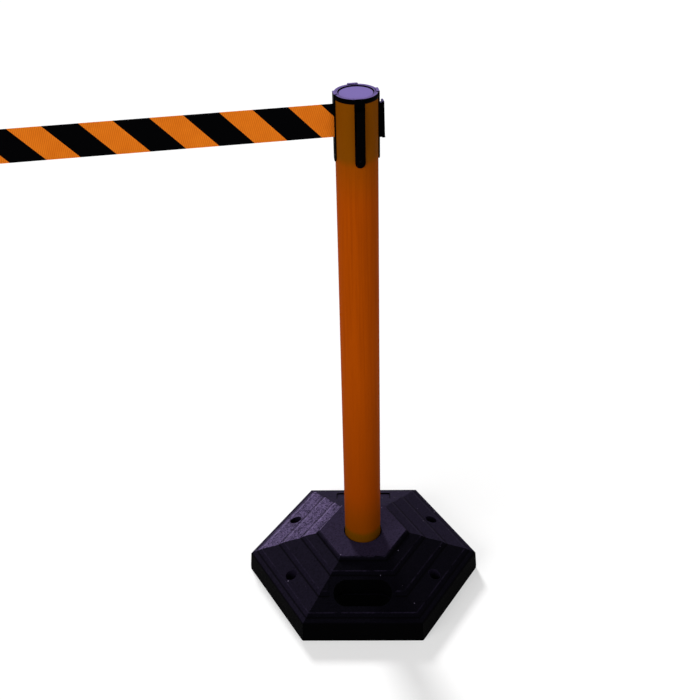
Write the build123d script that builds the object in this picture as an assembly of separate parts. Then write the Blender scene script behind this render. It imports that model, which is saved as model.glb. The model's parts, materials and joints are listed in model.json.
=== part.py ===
"""Barrier post with a pull-out belt: a plastic post in a six-sided rubber base, with a four-way belt head.

Millimetres, +Z up.  The origin is the centre of the base's underside.  Two flats of the base face -Y and +Y.
The head is modelled with its belt leaving along -X and is then turned with the post by HEAD_TURN about Z.
"""
import os
from math import acos, atan2, cos, degrees, hypot, pi, radians, sin, sqrt

from build123d import *

# ---------------------------------------------------------------- driving dimensions: base
BASE_HALF_FLATS = 180.0        # centre to a flat, measured on the ground
RIM_HEIGHT = 38.2              # height of the outer wall
RIM_DRAFT = 2.7                # how far the outer wall leans in over that height
RIM_ROUND = 5.0
CORNER_ROUND = 4.0             # upright corners of the hexagon
PLATEAU_HEIGHT = 91.5
PLATEAU_FOOT = 84.3            # height at the foot of the plateau's riser
# each riser: distance in from the flat, height at its foot, width, rise, rounding at foot and top
RISERS = [
    (12.2, 41.8, 7.4, 5.1, 0.8, 2.0),
    (47.6, 57.2, 7.4, 5.7, 1.0, 2.0),
    (82.3, 73.2, 6.7, 5.1, 1.0, 2.0),
    (107.3, PLATEAU_FOOT, 4.4, PLATEAU_HEIGHT - PLATEAU_FOOT, 1.5, 2.5),
]
HAND_HOLE_LENGTH = 101.0
HAND_HOLE_WIDTH = 44.6
HAND_HOLE_INSET = 52.8         # from the flat to the middle of the hole
HAND_HOLE_LEDGE = 2.0          # the lower half is this much smaller all round
HAND_HOLE_LEDGE_HEIGHT = 37.0
HAND_PAD_MARGIN = 8.3          # smooth pad beside the hole, where the riser stops short
HAND_PAD_OUTER_INSET = 27.5
HAND_PAD_INNER_INSET = 80.0
PANEL_LENGTH = 101.0           # plain sunk panel opposite the hand hole
PANEL_OUTER_INSET = 25.5
PANEL_INNER_INSET = 62.0
PANEL_DEPTH = 3.0
PANEL_ROUND = 5.0
STAKE_HOLE_DIAMETER = 21.0
STAKE_HOLE_INSET = 33.8        # from the flat to the hole's axis
UNDERSIDE_WELL_DIAMETER = 66.0
UNDERSIDE_WELL_DEPTH = 16.0
UNDERSIDE_WEB = 10.0           # rubber left between the well and the socket
FOOT_GROOVE_INSET = 18.0       # shallow water groove under the rim
FOOT_GROOVE_WIDTH = 10.0
FOOT_GROOVE_DEPTH = 2.5

# ---------------------------------------------------------------- driving dimensions: post and its foot
POST_DIAMETER = 63.5
POST_WALL = 3.2
POST_TOP = 910.4
SOCKET_MOUTH_GAP = 2.15        # visible gap round the post at the plateau
SOCKET_MOUTH_DEPTH = 14.0
SLEEVE_FLOOR = 3.0
PLUG_LENGTH = 30.0
PLUG_SEAT = 14.0               # plug bottom to the nut
BOLT_DIAMETER = 12.0
BOLT_HEAD_FLATS = 18.0
BOLT_HEAD_HEIGHT = 7.5
BOLT_END_ABOVE_NUT = 3.0
NUT_FLATS = 18.0
NUT_HEIGHT = 10.8
WASHER_DIAMETER = 36.0
WASHER_THICKNESS = 2.0
PLATE_DIAMETER = 60.0
PLATE_THICKNESS = 3.0
PLUG_RIVET_DIAMETER = 4.8
PLUG_RIVET_DEPTH = 14.0

# ---------------------------------------------------------------- driving dimensions: head
HEAD_TURN = 10.0               # how far the post stands turned in the base
COLLAR_OVERHANG = 1.0
COLLAR_HEIGHT = 4.1
COLLAR_SPIGOT_DEPTH = 8.0
LID_STEP = 0.7                 # the lid is this much smaller than the collar
LID_HEIGHT = 3.2
LID_ROUND = 0.5
LID_RECESS = 2.4
LID_RIM_WIDTH = 3.4
LID_SPIGOT_HEIGHT = 3.4
DISC_THICKNESS = 0.7
LID_SCREW_DIAMETER = 2.2
LID_SCREW_HEAD = 4.0
CHANNEL_WIDTH = 15.2
CHANNEL_STAND_OFF = 1.55       # how far a channel's face stands off the post
CHANNEL_LENGTH = 96.9          # from the channels' foot up to the post's top
CHANNEL_RECESS = 0.7
CHANNEL_RECESS_BORDER = 1.4
CHANNEL_RECESS_DROP = 6.4      # from the post's top down to the recess
TAB_HEIGHT = 1.0               # channels end in a tab standing over the lid
TAB_DEPTH = 3.0
CHANNEL_LAP = 0.8              # how far a channel covers each side of its slot in the post
RAIL_DROP = 8.4                # from the post's top down to the rails
RAIL_HEIGHT = 55.5
RAIL_STEM_DROP = 2.5           # the stem stops this far below the rail's top
RAIL_STEM_WIDTH = 5.0
RAIL_HEAD_WIDTH = 10.7
RAIL_GAP = 4.0                 # clear gap between the channel face and the rail's head
RAIL_HEAD_TOP_THICKNESS = 3.0
RAIL_HEAD_FOOT_THICKNESS = 3.9
RAIL_TOE = 0.6
RAIL_TOP_EASE = 0.4            # small chamfer on the outer edge of the rail's square top
CHANNEL_SCREW_RISE = 10.3      # from the channels' foot up to the screws
CHANNEL_SCREW_DIAMETER = 2.4
CHANNEL_SCREW_HEAD = 3.8
SCREW_SLOT_WIDTH = 0.7
SCREW_SLOT_DEPTH = 0.5

# ---------------------------------------------------------------- driving dimensions: reel inside the head
CASSETTE_INSET = 2.25          # from the post's bore to the reel's housing
CASSETTE_WALL = 2.2
CASSETTE_FLOOR = 3.0
CASSETTE_HEADROOM = 0.8        # above the spool
COVER_THICKNESS = 3.0
SPINDLE_DIAMETER = 8.0
SPINDLE_OVERHANG = 2.2
CLIP_RING_DIAMETER = 13.0
CLIP_RING_THICKNESS = 0.8
GROOVE_DEPTH = 0.7
DRUM_RADIUS = 9.0
ARBOR_RADIUS = 8.0
FLANGE_THICKNESS = 1.5
FLANGE_GAP = 0.5               # above and below the belt
BUSH_DIAMETER = 12.0
BUSH_LENGTH = 8.0
CUP_WALL = 1.3
CUP_HEIGHT = 20.0
SPRING_THICKNESS = 0.8
SPRING_PITCH = 1.6
SPRING_HEIGHT = 16.0
SPRING_HALF_TURNS = 16
BRAKE_SHOE_THICKNESS = 4.0
BRAKE_SHOE_WIDTH = 9.9
BRAKE_SHOE_GAP = 1.15          # from the shoe to the ring it rubs on
BRAKE_SHOE_SPAN = 103.0
BRAKE_SHOE_HEEL = 8.0
BRAKE_PIN_RADIUS = 1.5
BRAKE_PIN_INSET = 3.0          # from the shoe's inner edge to its pin
BRAKE_RING_THICKNESS = 0.5
BRAKE_RING_SKIRT = 2.6         # the ring reaches this far below the shoes
GUIDE_PIN_RADIUS = 1.0

# ---------------------------------------------------------------- driving dimensions: belt and its end clip
BELT_WIDTH = 50.8
BELT_THICKNESS = 0.6
BELT_WRAP_PITCH = 0.62
BELT_DROP = 8.2                # from the post's top down to the belt's upper edge
BELT_LENGTH = 2300.0
BELT_OUT = 551.7               # from the channel's face to the belt's end
BELT_GUIDE_INSET = 1.6         # from the cassette's outside to the bend at the guide pins
CLIP_WALL = 3.7                # beside a rail's head
CLIP_BAR_WALL = 4.5            # between the belt's end and the pocket
CLIP_OVER_BELT = 4.6           # above and below the belt
CLIP_ROUND = 2.0
CLIP_BELT_DEPTH = 10.5
CLIP_BELT_SLOT = 2.0
CLIP_TOP_WALL = 3.3
BAR_RADIUS = 1.6
CLIP_SCREW_RADIUS = 1.0
CLIP_SCREW_HEAD = 1.8
CLIP_SCREW_INSET = 4.0
CLIP_SCREW_SEAT = 1.4          # depth that the head is let in
CLIP_SCREW_SKIN = 1.5          # plastic left beyond the screw's tip
LATCH_TRAVEL = 3.0
LATCH_HEIGHT = 3.2
LATCH_LIFT = 1.4
LATCH_KNOB = 6.0
LATCH_KNOB_LENGTH = 2.6

# ---------------------------------------------------------------- named clearances
RUNNING_FIT = 0.06             # turning fits
SLIP_FIT = 0.05                # pieces slipped together and fixed
BOLT_CLEARANCE = 0.5
CHANNEL_CLEARANCE = 0.1
RAIL_CLEARANCE = 0.45          # a belt end's pocket round a rail's head
RAIL_MOUTH_CLEARANCE = 0.4     # a belt end's front wall between a rail's head and its channel
RAIL_END_CLEARANCE = 0.9
FLANGE_CLEARANCE = 0.6
PIECE_GAP = 0.2
SHOE_CLEARANCE = 0.6

# ---------------------------------------------------------------- worked-out sizes
POST_R = POST_DIAMETER / 2
BORE_R = POST_R - POST_WALL
SOCKET_R = POST_R + SOCKET_MOUTH_GAP
SLEEVE_BORE_R = POST_R + RUNNING_FIT
SOCKET_FLOOR = UNDERSIDE_WELL_DEPTH + UNDERSIDE_WEB
POST_FOOT = SOCKET_FLOOR + SLEEVE_FLOOR
SLEEVE_TOP = PLATEAU_HEIGHT - SOCKET_MOUTH_DEPTH
PLATE_BOTTOM = UNDERSIDE_WELL_DEPTH - PLATE_THICKNESS
WASHER_BOTTOM = PLATE_BOTTOM - WASHER_THICKNESS
NUT_BOTTOM = POST_FOOT + PLUG_SEAT
BOLT_TOP = NUT_BOTTOM + NUT_HEIGHT + BOLT_END_ABOVE_NUT
BOLT_HOLE_R = BOLT_DIAMETER / 2 + BOLT_CLEARANCE
CHANNEL_HALF = CHANNEL_WIDTH / 2
CHANNEL_FOOT = POST_TOP - CHANNEL_LENGTH
CHANNEL_RECESS_TOP = POST_TOP - CHANNEL_RECESS_DROP
CHANNEL_SCREW_HEIGHT = CHANNEL_FOOT + CHANNEL_SCREW_RISE
SLOT_WIDTH = CHANNEL_WIDTH - 2 * CHANNEL_LAP
RAIL_TOP = POST_TOP - RAIL_DROP
RAIL_BOTTOM = RAIL_TOP - RAIL_HEIGHT
RAIL_STEM_TOP = RAIL_TOP - RAIL_STEM_DROP
CHANNEL_FACE = POST_R + CHANNEL_STAND_OFF
CHANNEL_CENTRE = CHANNEL_FOOT + CHANNEL_HALF
CASSETTE_RADIUS = BORE_R - CASSETTE_INSET
NECK_HALF = SLOT_WIDTH / 2 - CHANNEL_CLEARANCE
NECK_INNER = CASSETTE_RADIUS + PIECE_GAP
COLLAR_R = POST_R + COLLAR_OVERHANG
COLLAR_TOP = POST_TOP + COLLAR_HEIGHT
LID_R = COLLAR_R - LID_STEP
LID_TOP = COLLAR_TOP + LID_HEIGHT
LID_RECESS_R = LID_R - LID_RIM_WIDTH
LID_FLOOR = LID_TOP - LID_RECESS
TAB_TOP = LID_TOP + TAB_HEIGHT
COLLAR_OPENING_R = CASSETTE_RADIUS - CASSETTE_WALL
RAIL_HEAD_INNER = CHANNEL_FACE + RAIL_GAP
BELT_TOP = POST_TOP - BELT_DROP
BELT_BOTTOM = BELT_TOP - BELT_WIDTH
LOWER_FLANGE_TOP = BELT_BOTTOM - FLANGE_GAP
LOWER_FLANGE_BOTTOM = LOWER_FLANGE_TOP - FLANGE_THICKNESS
UPPER_FLANGE_BOTTOM = BELT_TOP + FLANGE_GAP
UPPER_FLANGE_TOP = UPPER_FLANGE_BOTTOM + FLANGE_THICKNESS
CASSETTE_BORE_R = CASSETTE_RADIUS - CASSETTE_WALL
CASSETTE_TOP = UPPER_FLANGE_TOP + CASSETTE_HEADROOM
FLANGE_RADIUS = CASSETTE_BORE_R - FLANGE_CLEARANCE
SHOE_TOP = LOWER_FLANGE_BOTTOM - SHOE_CLEARANCE
SHOE_BOTTOM = SHOE_TOP - BRAKE_SHOE_THICKNESS
BRAKE_RING_R = CASSETTE_BORE_R - SLIP_FIT
BRAKE_RING_BOTTOM = SHOE_BOTTOM - BRAKE_RING_SKIRT
BRAKE_SHOE_OUTER = BRAKE_RING_R - BRAKE_RING_THICKNESS - BRAKE_SHOE_GAP
BRAKE_SHOE_INNER = BRAKE_SHOE_OUTER - BRAKE_SHOE_WIDTH
BRAKE_PIN_CIRCLE = BRAKE_SHOE_INNER + BRAKE_PIN_INSET
SPRING_COVER_BOTTOM = BRAKE_RING_BOTTOM - PIECE_GAP - CUP_WALL
CUP_TOP = SPRING_COVER_BOTTOM - PIECE_GAP
CUP_BOTTOM = CUP_TOP - CUP_HEIGHT - CUP_WALL
CUP_R = CASSETTE_BORE_R - PIECE_GAP
CASSETTE_FLOOR_TOP = CUP_BOTTOM - PIECE_GAP
CASSETTE_BOTTOM = CASSETTE_FLOOR_TOP - CASSETTE_FLOOR
SPINDLE_R = SPINDLE_DIAMETER / 2
SPINDLE_BOTTOM = CASSETTE_BOTTOM - SPINDLE_OVERHANG
SPINDLE_TOP = CASSETTE_TOP + COVER_THICKNESS + SPINDLE_OVERHANG
GUIDE_RADIUS = CASSETTE_RADIUS - BELT_GUIDE_INSET
BELT_START = CHANNEL_FACE - CHANNEL_STAND_OFF
BELT_END = CHANNEL_FACE + BELT_OUT
BELT_ON_REEL = BELT_LENGTH - (BELT_END - GUIDE_RADIUS)
ROLL_R = sqrt((DRUM_RADIUS + SLIP_FIT) ** 2 + BELT_ON_REEL * BELT_WRAP_PITCH / pi)
CLIP_INNER = BELT_END - CLIP_BELT_DEPTH
POCKET_INNER = BELT_END + CLIP_BAR_WALL
POCKET_OUTER = POCKET_INNER + RAIL_HEAD_FOOT_THICKNESS + RAIL_TOE + RAIL_END_CLEARANCE
CLIP_OUTER = POCKET_OUTER + RAIL_GAP - RAIL_MOUTH_CLEARANCE
CLIP_WIDTH = RAIL_HEAD_WIDTH + 2 * (RAIL_CLEARANCE + CLIP_WALL)
CLIP_BOTTOM = BELT_BOTTOM - CLIP_OVER_BELT
CLIP_TOP = BELT_TOP + CLIP_OVER_BELT
BAR_S = BELT_END + PIECE_GAP + BAR_RADIUS
RECEIVERS = {"right": 0.0, "back": 90.0, "front": 270.0}
EXIT_ANGLE = 180.0
CHANNEL_ANGLES = [*RECEIVERS.values(), EXIT_ANGLE]
FACE_ANGLES = [30, 90, 150, 210, 270, 330]
STAKE_ANGLES = [30, 150, 210, 330]


# ---------------------------------------------------------------- small helpers
def rod(radius, low, high, at=(0.0, 0.0)):
    """Upright cylinder between two heights."""
    return Pos(at[0], at[1], (low + high) / 2) * Cylinder(radius, high - low)


def tube(outer, inner, low, high):
    """Upright ring between two heights; the cut runs past both ends."""
    return rod(outer, low, high) - rod(inner, low - 1, high + 1)


def block(x, y, z):
    """Box from three (low, high) pairs."""
    size = [high - low for low, high in (x, y, z)]
    centre = [(low + high) / 2 for low, high in (x, y, z)]
    return Pos(*centre) * Box(*size)


def hexagon_bar(flats, low, high):
    """Upright bar with a regular six-sided section, given its width across flats."""
    section = RegularPolygon(flats / 2, 6, major_radius=False)
    return extrude(Pos(0, 0, low) * section, high - low)


def lying_rod(radius, start, end, z, y=0.0):
    """Cylinder along X between two distances from the post's axis."""
    return Pos((start + end) / 2, y, z) * Rot(0, 90, 0) * Cylinder(radius, end - start)


def cross_rod(radius, start, end, x, z):
    """Cylinder along Y."""
    return Pos(x, (start + end) / 2, z) * Rot(90, 0, 0) * Cylinder(radius, end - start)


def round_foot_slab(half_width, centre_z, top, inner, outer):
    """Slab facing +X, with straight sides and a half-round lower end, from inner to outer along X."""
    straight = Pos(0, (centre_z + top) / 2) * Rectangle(2 * half_width, top - centre_z)
    outline = straight + Pos(0, centre_z) * Circle(half_width)
    return extrude(Plane.YZ.offset(inner) * outline, outer - inner)


def around(shape, angle):
    """Turn a piece modelled facing +X to face another way."""
    return Rot(0, 0, angle) * shape


def rounded_outline(points):
    """Closed outline from (u, v, rounding) corners."""
    corners = [(u, v) for u, v, _ in points]
    face = make_face(Polyline(*corners, close=True))
    for u, v, rounding in points:
        if rounding > 0:
            corner = min(face.vertices(), key=lambda vertex: hypot(vertex.X - u, vertex.Y - v))
            face = fillet(corner, rounding)
    return face


# ---------------------------------------------------------------- base
def face_profile(back):
    """Section across one face of the base, from beyond the centre out to the flat."""
    points = [(back, 0, 0), (BASE_HALF_FLATS, 0, 0), (BASE_HALF_FLATS - RIM_DRAFT, RIM_HEIGHT, RIM_ROUND)]
    for inset, foot, width, height, foot_round, top_round in RISERS:
        outer = BASE_HALF_FLATS - inset
        points.append((outer, foot, foot_round))
        points.append((outer - width, foot + height, top_round))
    points.append((back, PLATEAU_HEIGHT, 0))
    return rounded_outline(points)


def ground_height(apothem):
    """Height of a face's straight-line surface at a distance from the centre."""
    points = [(BASE_HALF_FLATS - RIM_DRAFT, RIM_HEIGHT)]
    for inset, foot, width, height, _, _ in RISERS:
        points.append((BASE_HALF_FLATS - inset, foot))
        points.append((BASE_HALF_FLATS - inset - width, foot + height))
    for (outer, low), (inner, high) in zip(points, points[1:]):
        if inner <= apothem <= outer:
            return low + (outer - apothem) / (outer - inner) * (high - low)
    return PLATEAU_HEIGHT


def stadium(length, width, low, high, centre_y):
    """Upright slot-shaped cutter."""
    return extrude(Pos(0, centre_y, low) * SlotOverall(length, width), high - low)


def terraced_hexagon():
    """Six identical stepped faces, met at their mitres."""
    reach = 2 * BASE_HALF_FLATS
    section = face_profile(-reach)
    wedge = around(extrude(Plane.XZ * section, reach, both=True), FACE_ANGLES[0])
    body = wedge
    for angle in FACE_ANGLES[1:]:
        body = body & around(wedge, angle - FACE_ANGLES[0])
    rounded = RegularPolygon(BASE_HALF_FLATS, 6, major_radius=False)
    rounded = fillet(rounded.vertices(), CORNER_ROUND)
    return body & extrude(rounded, PLATEAU_HEIGHT + 1)


def hand_pad(body):
    """Smooth sloping pad that interrupts the second riser beside the hand hole."""
    outer = BASE_HALF_FLATS - HAND_PAD_OUTER_INSET
    inner = BASE_HALF_FLATS - HAND_PAD_INNER_INSET
    low, high = ground_height(outer), ground_height(inner)
    half = HAND_HOLE_LENGTH / 2 + HAND_PAD_MARGIN
    slope = [(-outer, low), (-inner, high)]
    above = make_face(Polyline(*slope, (-inner, 2 * high), (-outer, 2 * high), close=True))
    below = make_face(Polyline(*slope, (-inner, low / 2), (-outer, low / 2), close=True))
    upright = Plane(origin=(-half, 0, 0), x_dir=(0, 1, 0), z_dir=(1, 0, 0))
    body = body - extrude(upright * above, 2 * half)
    return body + extrude(upright * below, 2 * half)


def sunk_panel():
    """Cutter for the plain panel sunk in the face opposite the hand hole."""
    outer = BASE_HALF_FLATS - PANEL_OUTER_INSET
    inner = BASE_HALF_FLATS - PANEL_INNER_INSET
    low, high = ground_height(outer) - PANEL_DEPTH, ground_height(inner) - PANEL_DEPTH
    floor = make_face(Polyline((outer, low), (inner, high), (inner, 2 * high), (outer, 2 * high), close=True))
    upright = Plane(origin=(-PANEL_LENGTH / 2, 0, 0), x_dir=(0, 1, 0), z_dir=(1, 0, 0))
    cutter = extrude(upright * floor, PANEL_LENGTH)
    return fillet(cutter.edges().filter_by(Axis.Z), PANEL_ROUND)


def stake_positions():
    """Axes of the four stake holes, one in the middle of each slanting face."""
    distance = BASE_HALF_FLATS - STAKE_HOLE_INSET
    return [(distance * cos(radians(a)), distance * sin(radians(a))) for a in STAKE_ANGLES]


def make_base_block():
    """Moulded rubber base."""
    body = hand_pad(terraced_hexagon())
    hole_y = -(BASE_HALF_FLATS - HAND_HOLE_INSET)
    lower_length = HAND_HOLE_LENGTH - 2 * HAND_HOLE_LEDGE
    lower_width = HAND_HOLE_WIDTH - 2 * HAND_HOLE_LEDGE
    body -= stadium(HAND_HOLE_LENGTH, HAND_HOLE_WIDTH, HAND_HOLE_LEDGE_HEIGHT, PLATEAU_HEIGHT, hole_y)
    body -= stadium(lower_length, lower_width, -1, HAND_HOLE_LEDGE_HEIGHT + 1, hole_y)
    body -= sunk_panel()
    for place in stake_positions():
        body -= rod(STAKE_HOLE_DIAMETER / 2, -1, PLATEAU_HEIGHT, place)
    body -= rod(SOCKET_R, SOCKET_FLOOR, PLATEAU_HEIGHT + 1)
    body -= rod(UNDERSIDE_WELL_DIAMETER / 2, -1, UNDERSIDE_WELL_DEPTH)
    body -= rod(BOLT_HOLE_R, 0, SOCKET_FLOOR + 1)
    groove_outer = BASE_HALF_FLATS - FOOT_GROOVE_INSET
    groove = RegularPolygon(groove_outer, 6, major_radius=False)
    groove -= RegularPolygon(groove_outer - FOOT_GROOVE_WIDTH, 6, major_radius=False)
    return body - extrude(groove, FOOT_GROOVE_DEPTH)


def make_socket_sleeve():
    """Plastic sleeve that lines the socket and carries the post's foot."""
    outer = SOCKET_R - SLIP_FIT
    sleeve = rod(outer, SOCKET_FLOOR, SLEEVE_TOP) - rod(SLEEVE_BORE_R, POST_FOOT, SLEEVE_TOP + 1)
    return sleeve - rod(BOLT_HOLE_R, SOCKET_FLOOR - 1, POST_FOOT + 1)


def make_backing_plate():
    """Steel disc under the web."""
    return tube(PLATE_DIAMETER / 2, BOLT_HOLE_R, PLATE_BOTTOM, UNDERSIDE_WELL_DEPTH)


# ---------------------------------------------------------------- post and foot
def make_post_tube():
    """Post tube with four open slots for the head's channels."""
    post = tube(POST_R, BORE_R, POST_FOOT, POST_TOP)
    slot = round_foot_slab(SLOT_WIDTH / 2, CHANNEL_CENTRE, POST_TOP + 1, BORE_R / 2, POST_R + 1)
    for angle in CHANNEL_ANGLES:
        post -= around(slot, angle)
    for side in (0, 180):
        post -= around(plug_rivet(SLIP_FIT), side)
    return post


def plug_rivet(clearance=0.0):
    """One rivet through the wall into the foot plug."""
    radius = PLUG_RIVET_DIAMETER / 2 + clearance
    outer = POST_R - SLIP_FIT + clearance
    return lying_rod(radius, POST_R - PLUG_RIVET_DEPTH, outer, POST_FOOT + PLUG_SEAT / 2)


def make_foot_plug():
    """Plug in the post's foot that traps the nut."""
    plug = rod(BORE_R - SLIP_FIT, POST_FOOT, POST_FOOT + PLUG_LENGTH)
    plug -= rod(BOLT_HOLE_R, POST_FOOT - 1, POST_FOOT + PLUG_LENGTH)
    plug -= hexagon_bar(NUT_FLATS + 2 * SLIP_FIT, NUT_BOTTOM, POST_FOOT + PLUG_LENGTH + 1)
    for side in (0, 180):
        plug -= around(plug_rivet(SLIP_FIT), side)
    return plug


def make_clamp_bolt():
    """Hexagon bolt from under the base."""
    head = hexagon_bar(BOLT_HEAD_FLATS, WASHER_BOTTOM - BOLT_HEAD_HEIGHT, WASHER_BOTTOM)
    return head + rod(BOLT_DIAMETER / 2, WASHER_BOTTOM - 1, BOLT_TOP)


def make_clamp_nut():
    """Nut trapped in the plug."""
    nut = hexagon_bar(NUT_FLATS, NUT_BOTTOM, NUT_BOTTOM + NUT_HEIGHT)
    return nut - rod(BOLT_DIAMETER / 2 + SLIP_FIT, NUT_BOTTOM - 1, NUT_BOTTOM + NUT_HEIGHT + 1)


def make_clamp_washer():
    """Washer between the bolt's head and the plate."""
    return tube(WASHER_DIAMETER / 2, BOLT_HOLE_R, WASHER_BOTTOM, PLATE_BOTTOM)


# ---------------------------------------------------------------- head: channels, rails, collar and lid
def channel_envelope(clearance=0.0):
    """Everything a channel fills, facing +X, to cut the collar and lid clear of it."""
    half = CHANNEL_HALF + clearance
    depth = (POST_R - TAB_DEPTH - clearance, CHANNEL_FACE + 1)
    slab = block(depth, (-half, half), (POST_TOP - 1, TAB_TOP + 1))
    neck = block((NECK_INNER - clearance, POST_R), (-NECK_HALF - clearance, NECK_HALF + clearance),
                 (CASSETTE_BOTTOM, POST_TOP + clearance))
    return slab + neck


def make_channel():
    """Upright channel facing +X: a flange on the post's outside and a neck through its slot."""
    flange = round_foot_slab(CHANNEL_HALF, CHANNEL_CENTRE, POST_TOP, NECK_INNER, CHANNEL_FACE)
    flange -= rod(POST_R + SLIP_FIT, CHANNEL_FOOT - 1, POST_TOP + 1)
    neck = round_foot_slab(NECK_HALF, CHANNEL_CENTRE, POST_TOP, NECK_INNER, POST_R + CHANNEL_STAND_OFF / 2)
    inner_tab = POST_R - TAB_DEPTH
    tab = block((inner_tab, CHANNEL_FACE), (-CHANNEL_HALF, CHANNEL_HALF), (POST_TOP, TAB_TOP))
    channel = flange + neck + tab
    half = CHANNEL_HALF - CHANNEL_RECESS_BORDER
    recess_foot = CHANNEL_FOOT + CHANNEL_RECESS_BORDER + half
    floor = CHANNEL_FACE - CHANNEL_RECESS
    channel -= round_foot_slab(half, recess_foot, CHANNEL_RECESS_TOP, floor, CHANNEL_FACE + 1)
    hole = CHANNEL_SCREW_DIAMETER / 2 + SLIP_FIT
    channel -= lying_rod(hole, NECK_INNER - 1, CHANNEL_FACE, CHANNEL_SCREW_HEIGHT)
    seat = CHANNEL_SCREW_HEAD / 2 + PIECE_GAP
    return channel - lying_rod(seat, POST_R - CHANNEL_STAND_OFF, CHANNEL_FACE + 1, CHANNEL_SCREW_HEIGHT)


def make_receiver_channel():
    """Channel with the slot that holds a rail's tongue."""
    half = RAIL_STEM_WIDTH / 2 + SLIP_FIT
    height = (RAIL_BOTTOM - SLIP_FIT, RAIL_STEM_TOP + SLIP_FIT)
    return make_channel() - block((NECK_INNER - 1, CHANNEL_FACE + 1), (-half, half), height)


def make_exit_channel():
    """Channel with the belt's way out."""
    half = CLIP_BELT_SLOT / 2
    return make_channel() - block((NECK_INNER - 1, CHANNEL_FACE + 1), (-half, half), belt_way())


def belt_way():
    """Lowest and highest point of the slots that the belt runs through."""
    return BELT_BOTTOM - FLANGE_GAP, BELT_TOP + FLANGE_GAP


def make_rail():
    """T-shaped rail that a belt end slides down on, facing +X."""
    half = RAIL_STEM_WIDTH / 2
    stem = block((NECK_INNER, RAIL_HEAD_INNER), (-half, half), (RAIL_BOTTOM, RAIL_STEM_TOP))
    foot = RAIL_HEAD_INNER + RAIL_HEAD_FOOT_THICKNESS
    top = RAIL_HEAD_INNER + RAIL_HEAD_TOP_THICKNESS
    side = make_face(Polyline(
        (RAIL_HEAD_INNER, RAIL_BOTTOM),
        (foot + RAIL_TOE, RAIL_BOTTOM),
        (foot, RAIL_BOTTOM + RAIL_GAP),
        (top, RAIL_TOP - RAIL_TOP_EASE),
        (top - RAIL_TOP_EASE, RAIL_TOP),
        (RAIL_HEAD_INNER, RAIL_TOP),
        close=True,
    ))
    across = Plane(origin=(0, RAIL_HEAD_WIDTH / 2, 0), x_dir=(1, 0, 0), z_dir=(0, -1, 0))
    return stem + extrude(across * side, RAIL_HEAD_WIDTH)


def channel_screw():
    """Screw at a channel's foot, facing +X."""
    head_inner = POST_R - CHANNEL_STAND_OFF
    head_outer = CHANNEL_FACE - CHANNEL_RECESS
    z = CHANNEL_SCREW_HEIGHT
    head = lying_rod(CHANNEL_SCREW_HEAD / 2, head_inner, head_outer, z)
    shank = lying_rod(CHANNEL_SCREW_DIAMETER / 2, CASSETTE_BORE_R + PIECE_GAP, head_inner + 1, z)
    half = SCREW_SLOT_WIDTH / 2
    height = (z - CHANNEL_WIDTH, z + CHANNEL_WIDTH)
    drive = block((head_outer - SCREW_SLOT_DEPTH, CHANNEL_FACE), (-half, half), height)
    return head + shank - drive


def make_collar():
    """Collar on top of the post, with a spigot down inside it."""
    collar = tube(COLLAR_R, COLLAR_OPENING_R, POST_TOP + SLIP_FIT, COLLAR_TOP)
    collar = fillet(collar.edges().filter_by(GeomType.CIRCLE).sort_by(lambda e: e.radius)[-2:], LID_ROUND)
    spigot_top = COLLAR_TOP - COLLAR_HEIGHT / 2
    collar += tube(BORE_R - SLIP_FIT, NECK_INNER, POST_TOP - COLLAR_SPIGOT_DEPTH, spigot_top)
    for angle in CHANNEL_ANGLES:
        collar -= around(channel_envelope(CHANNEL_CLEARANCE), angle)
    for place in lid_screw_places():
        collar -= rod(LID_SCREW_DIAMETER / 2 + SLIP_FIT, POST_TOP + COLLAR_HEIGHT / 4, COLLAR_TOP + 1, place)
    return collar


def make_lid():
    """Lid with a raised rim round a shallow recess."""
    lid = rod(LID_R, COLLAR_TOP, LID_TOP)
    lid = fillet(lid.edges().filter_by(GeomType.CIRCLE).sort_by(Axis.Z)[-1:], LID_ROUND)
    lid += rod(COLLAR_OPENING_R - PIECE_GAP, COLLAR_TOP - LID_SPIGOT_HEIGHT, COLLAR_TOP + 1)
    lid -= rod(LID_RECESS_R, LID_FLOOR, LID_TOP + 1)
    for angle in CHANNEL_ANGLES:
        lid -= around(channel_envelope(CHANNEL_CLEARANCE), angle)
    for place in lid_screw_places():
        lid -= rod(LID_SCREW_DIAMETER / 2 + SLIP_FIT, COLLAR_TOP - 1, LID_TOP, place)
    return lid


def lid_screw_places():
    """Axes of the lid's screws, between the channels and under the disc."""
    circle = (COLLAR_OPENING_R + LID_RECESS_R) / 2
    return [(circle * cos(radians(a)), circle * sin(radians(a))) for a in (45, 135, 225, 315)]


def lid_screw(place):
    """Low-headed screw under the disc."""
    head = rod(LID_SCREW_HEAD / 2, LID_FLOOR, LID_FLOOR + DISC_THICKNESS / 2, place)
    tip = POST_TOP + COLLAR_HEIGHT / 3
    return head + rod(LID_SCREW_DIAMETER / 2, tip, LID_FLOOR + DISC_THICKNESS / 4, place)


def make_lid_disc():
    """Plain disc that covers the lid's screws."""
    disc = rod(LID_RECESS_R - PIECE_GAP, LID_FLOOR, LID_FLOOR + DISC_THICKNESS)
    pit_top = LID_FLOOR + DISC_THICKNESS / 2 + SLIP_FIT
    for place in lid_screw_places():
        disc -= rod(LID_SCREW_HEAD / 2 + PIECE_GAP, LID_FLOOR - 1, pit_top, place)
    return disc


# ---------------------------------------------------------------- head: reel
def lead_points():
    """Where the belt leaves the roll and where it bends at the guide pins, as (along, across)."""
    centre_r = ROLL_R + BELT_THICKNESS / 2 + SLIP_FIT
    angle = acos(centre_r / GUIDE_RADIUS)
    return (centre_r * cos(angle), centre_r * sin(angle)), (GUIDE_RADIUS, 0.0)


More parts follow.
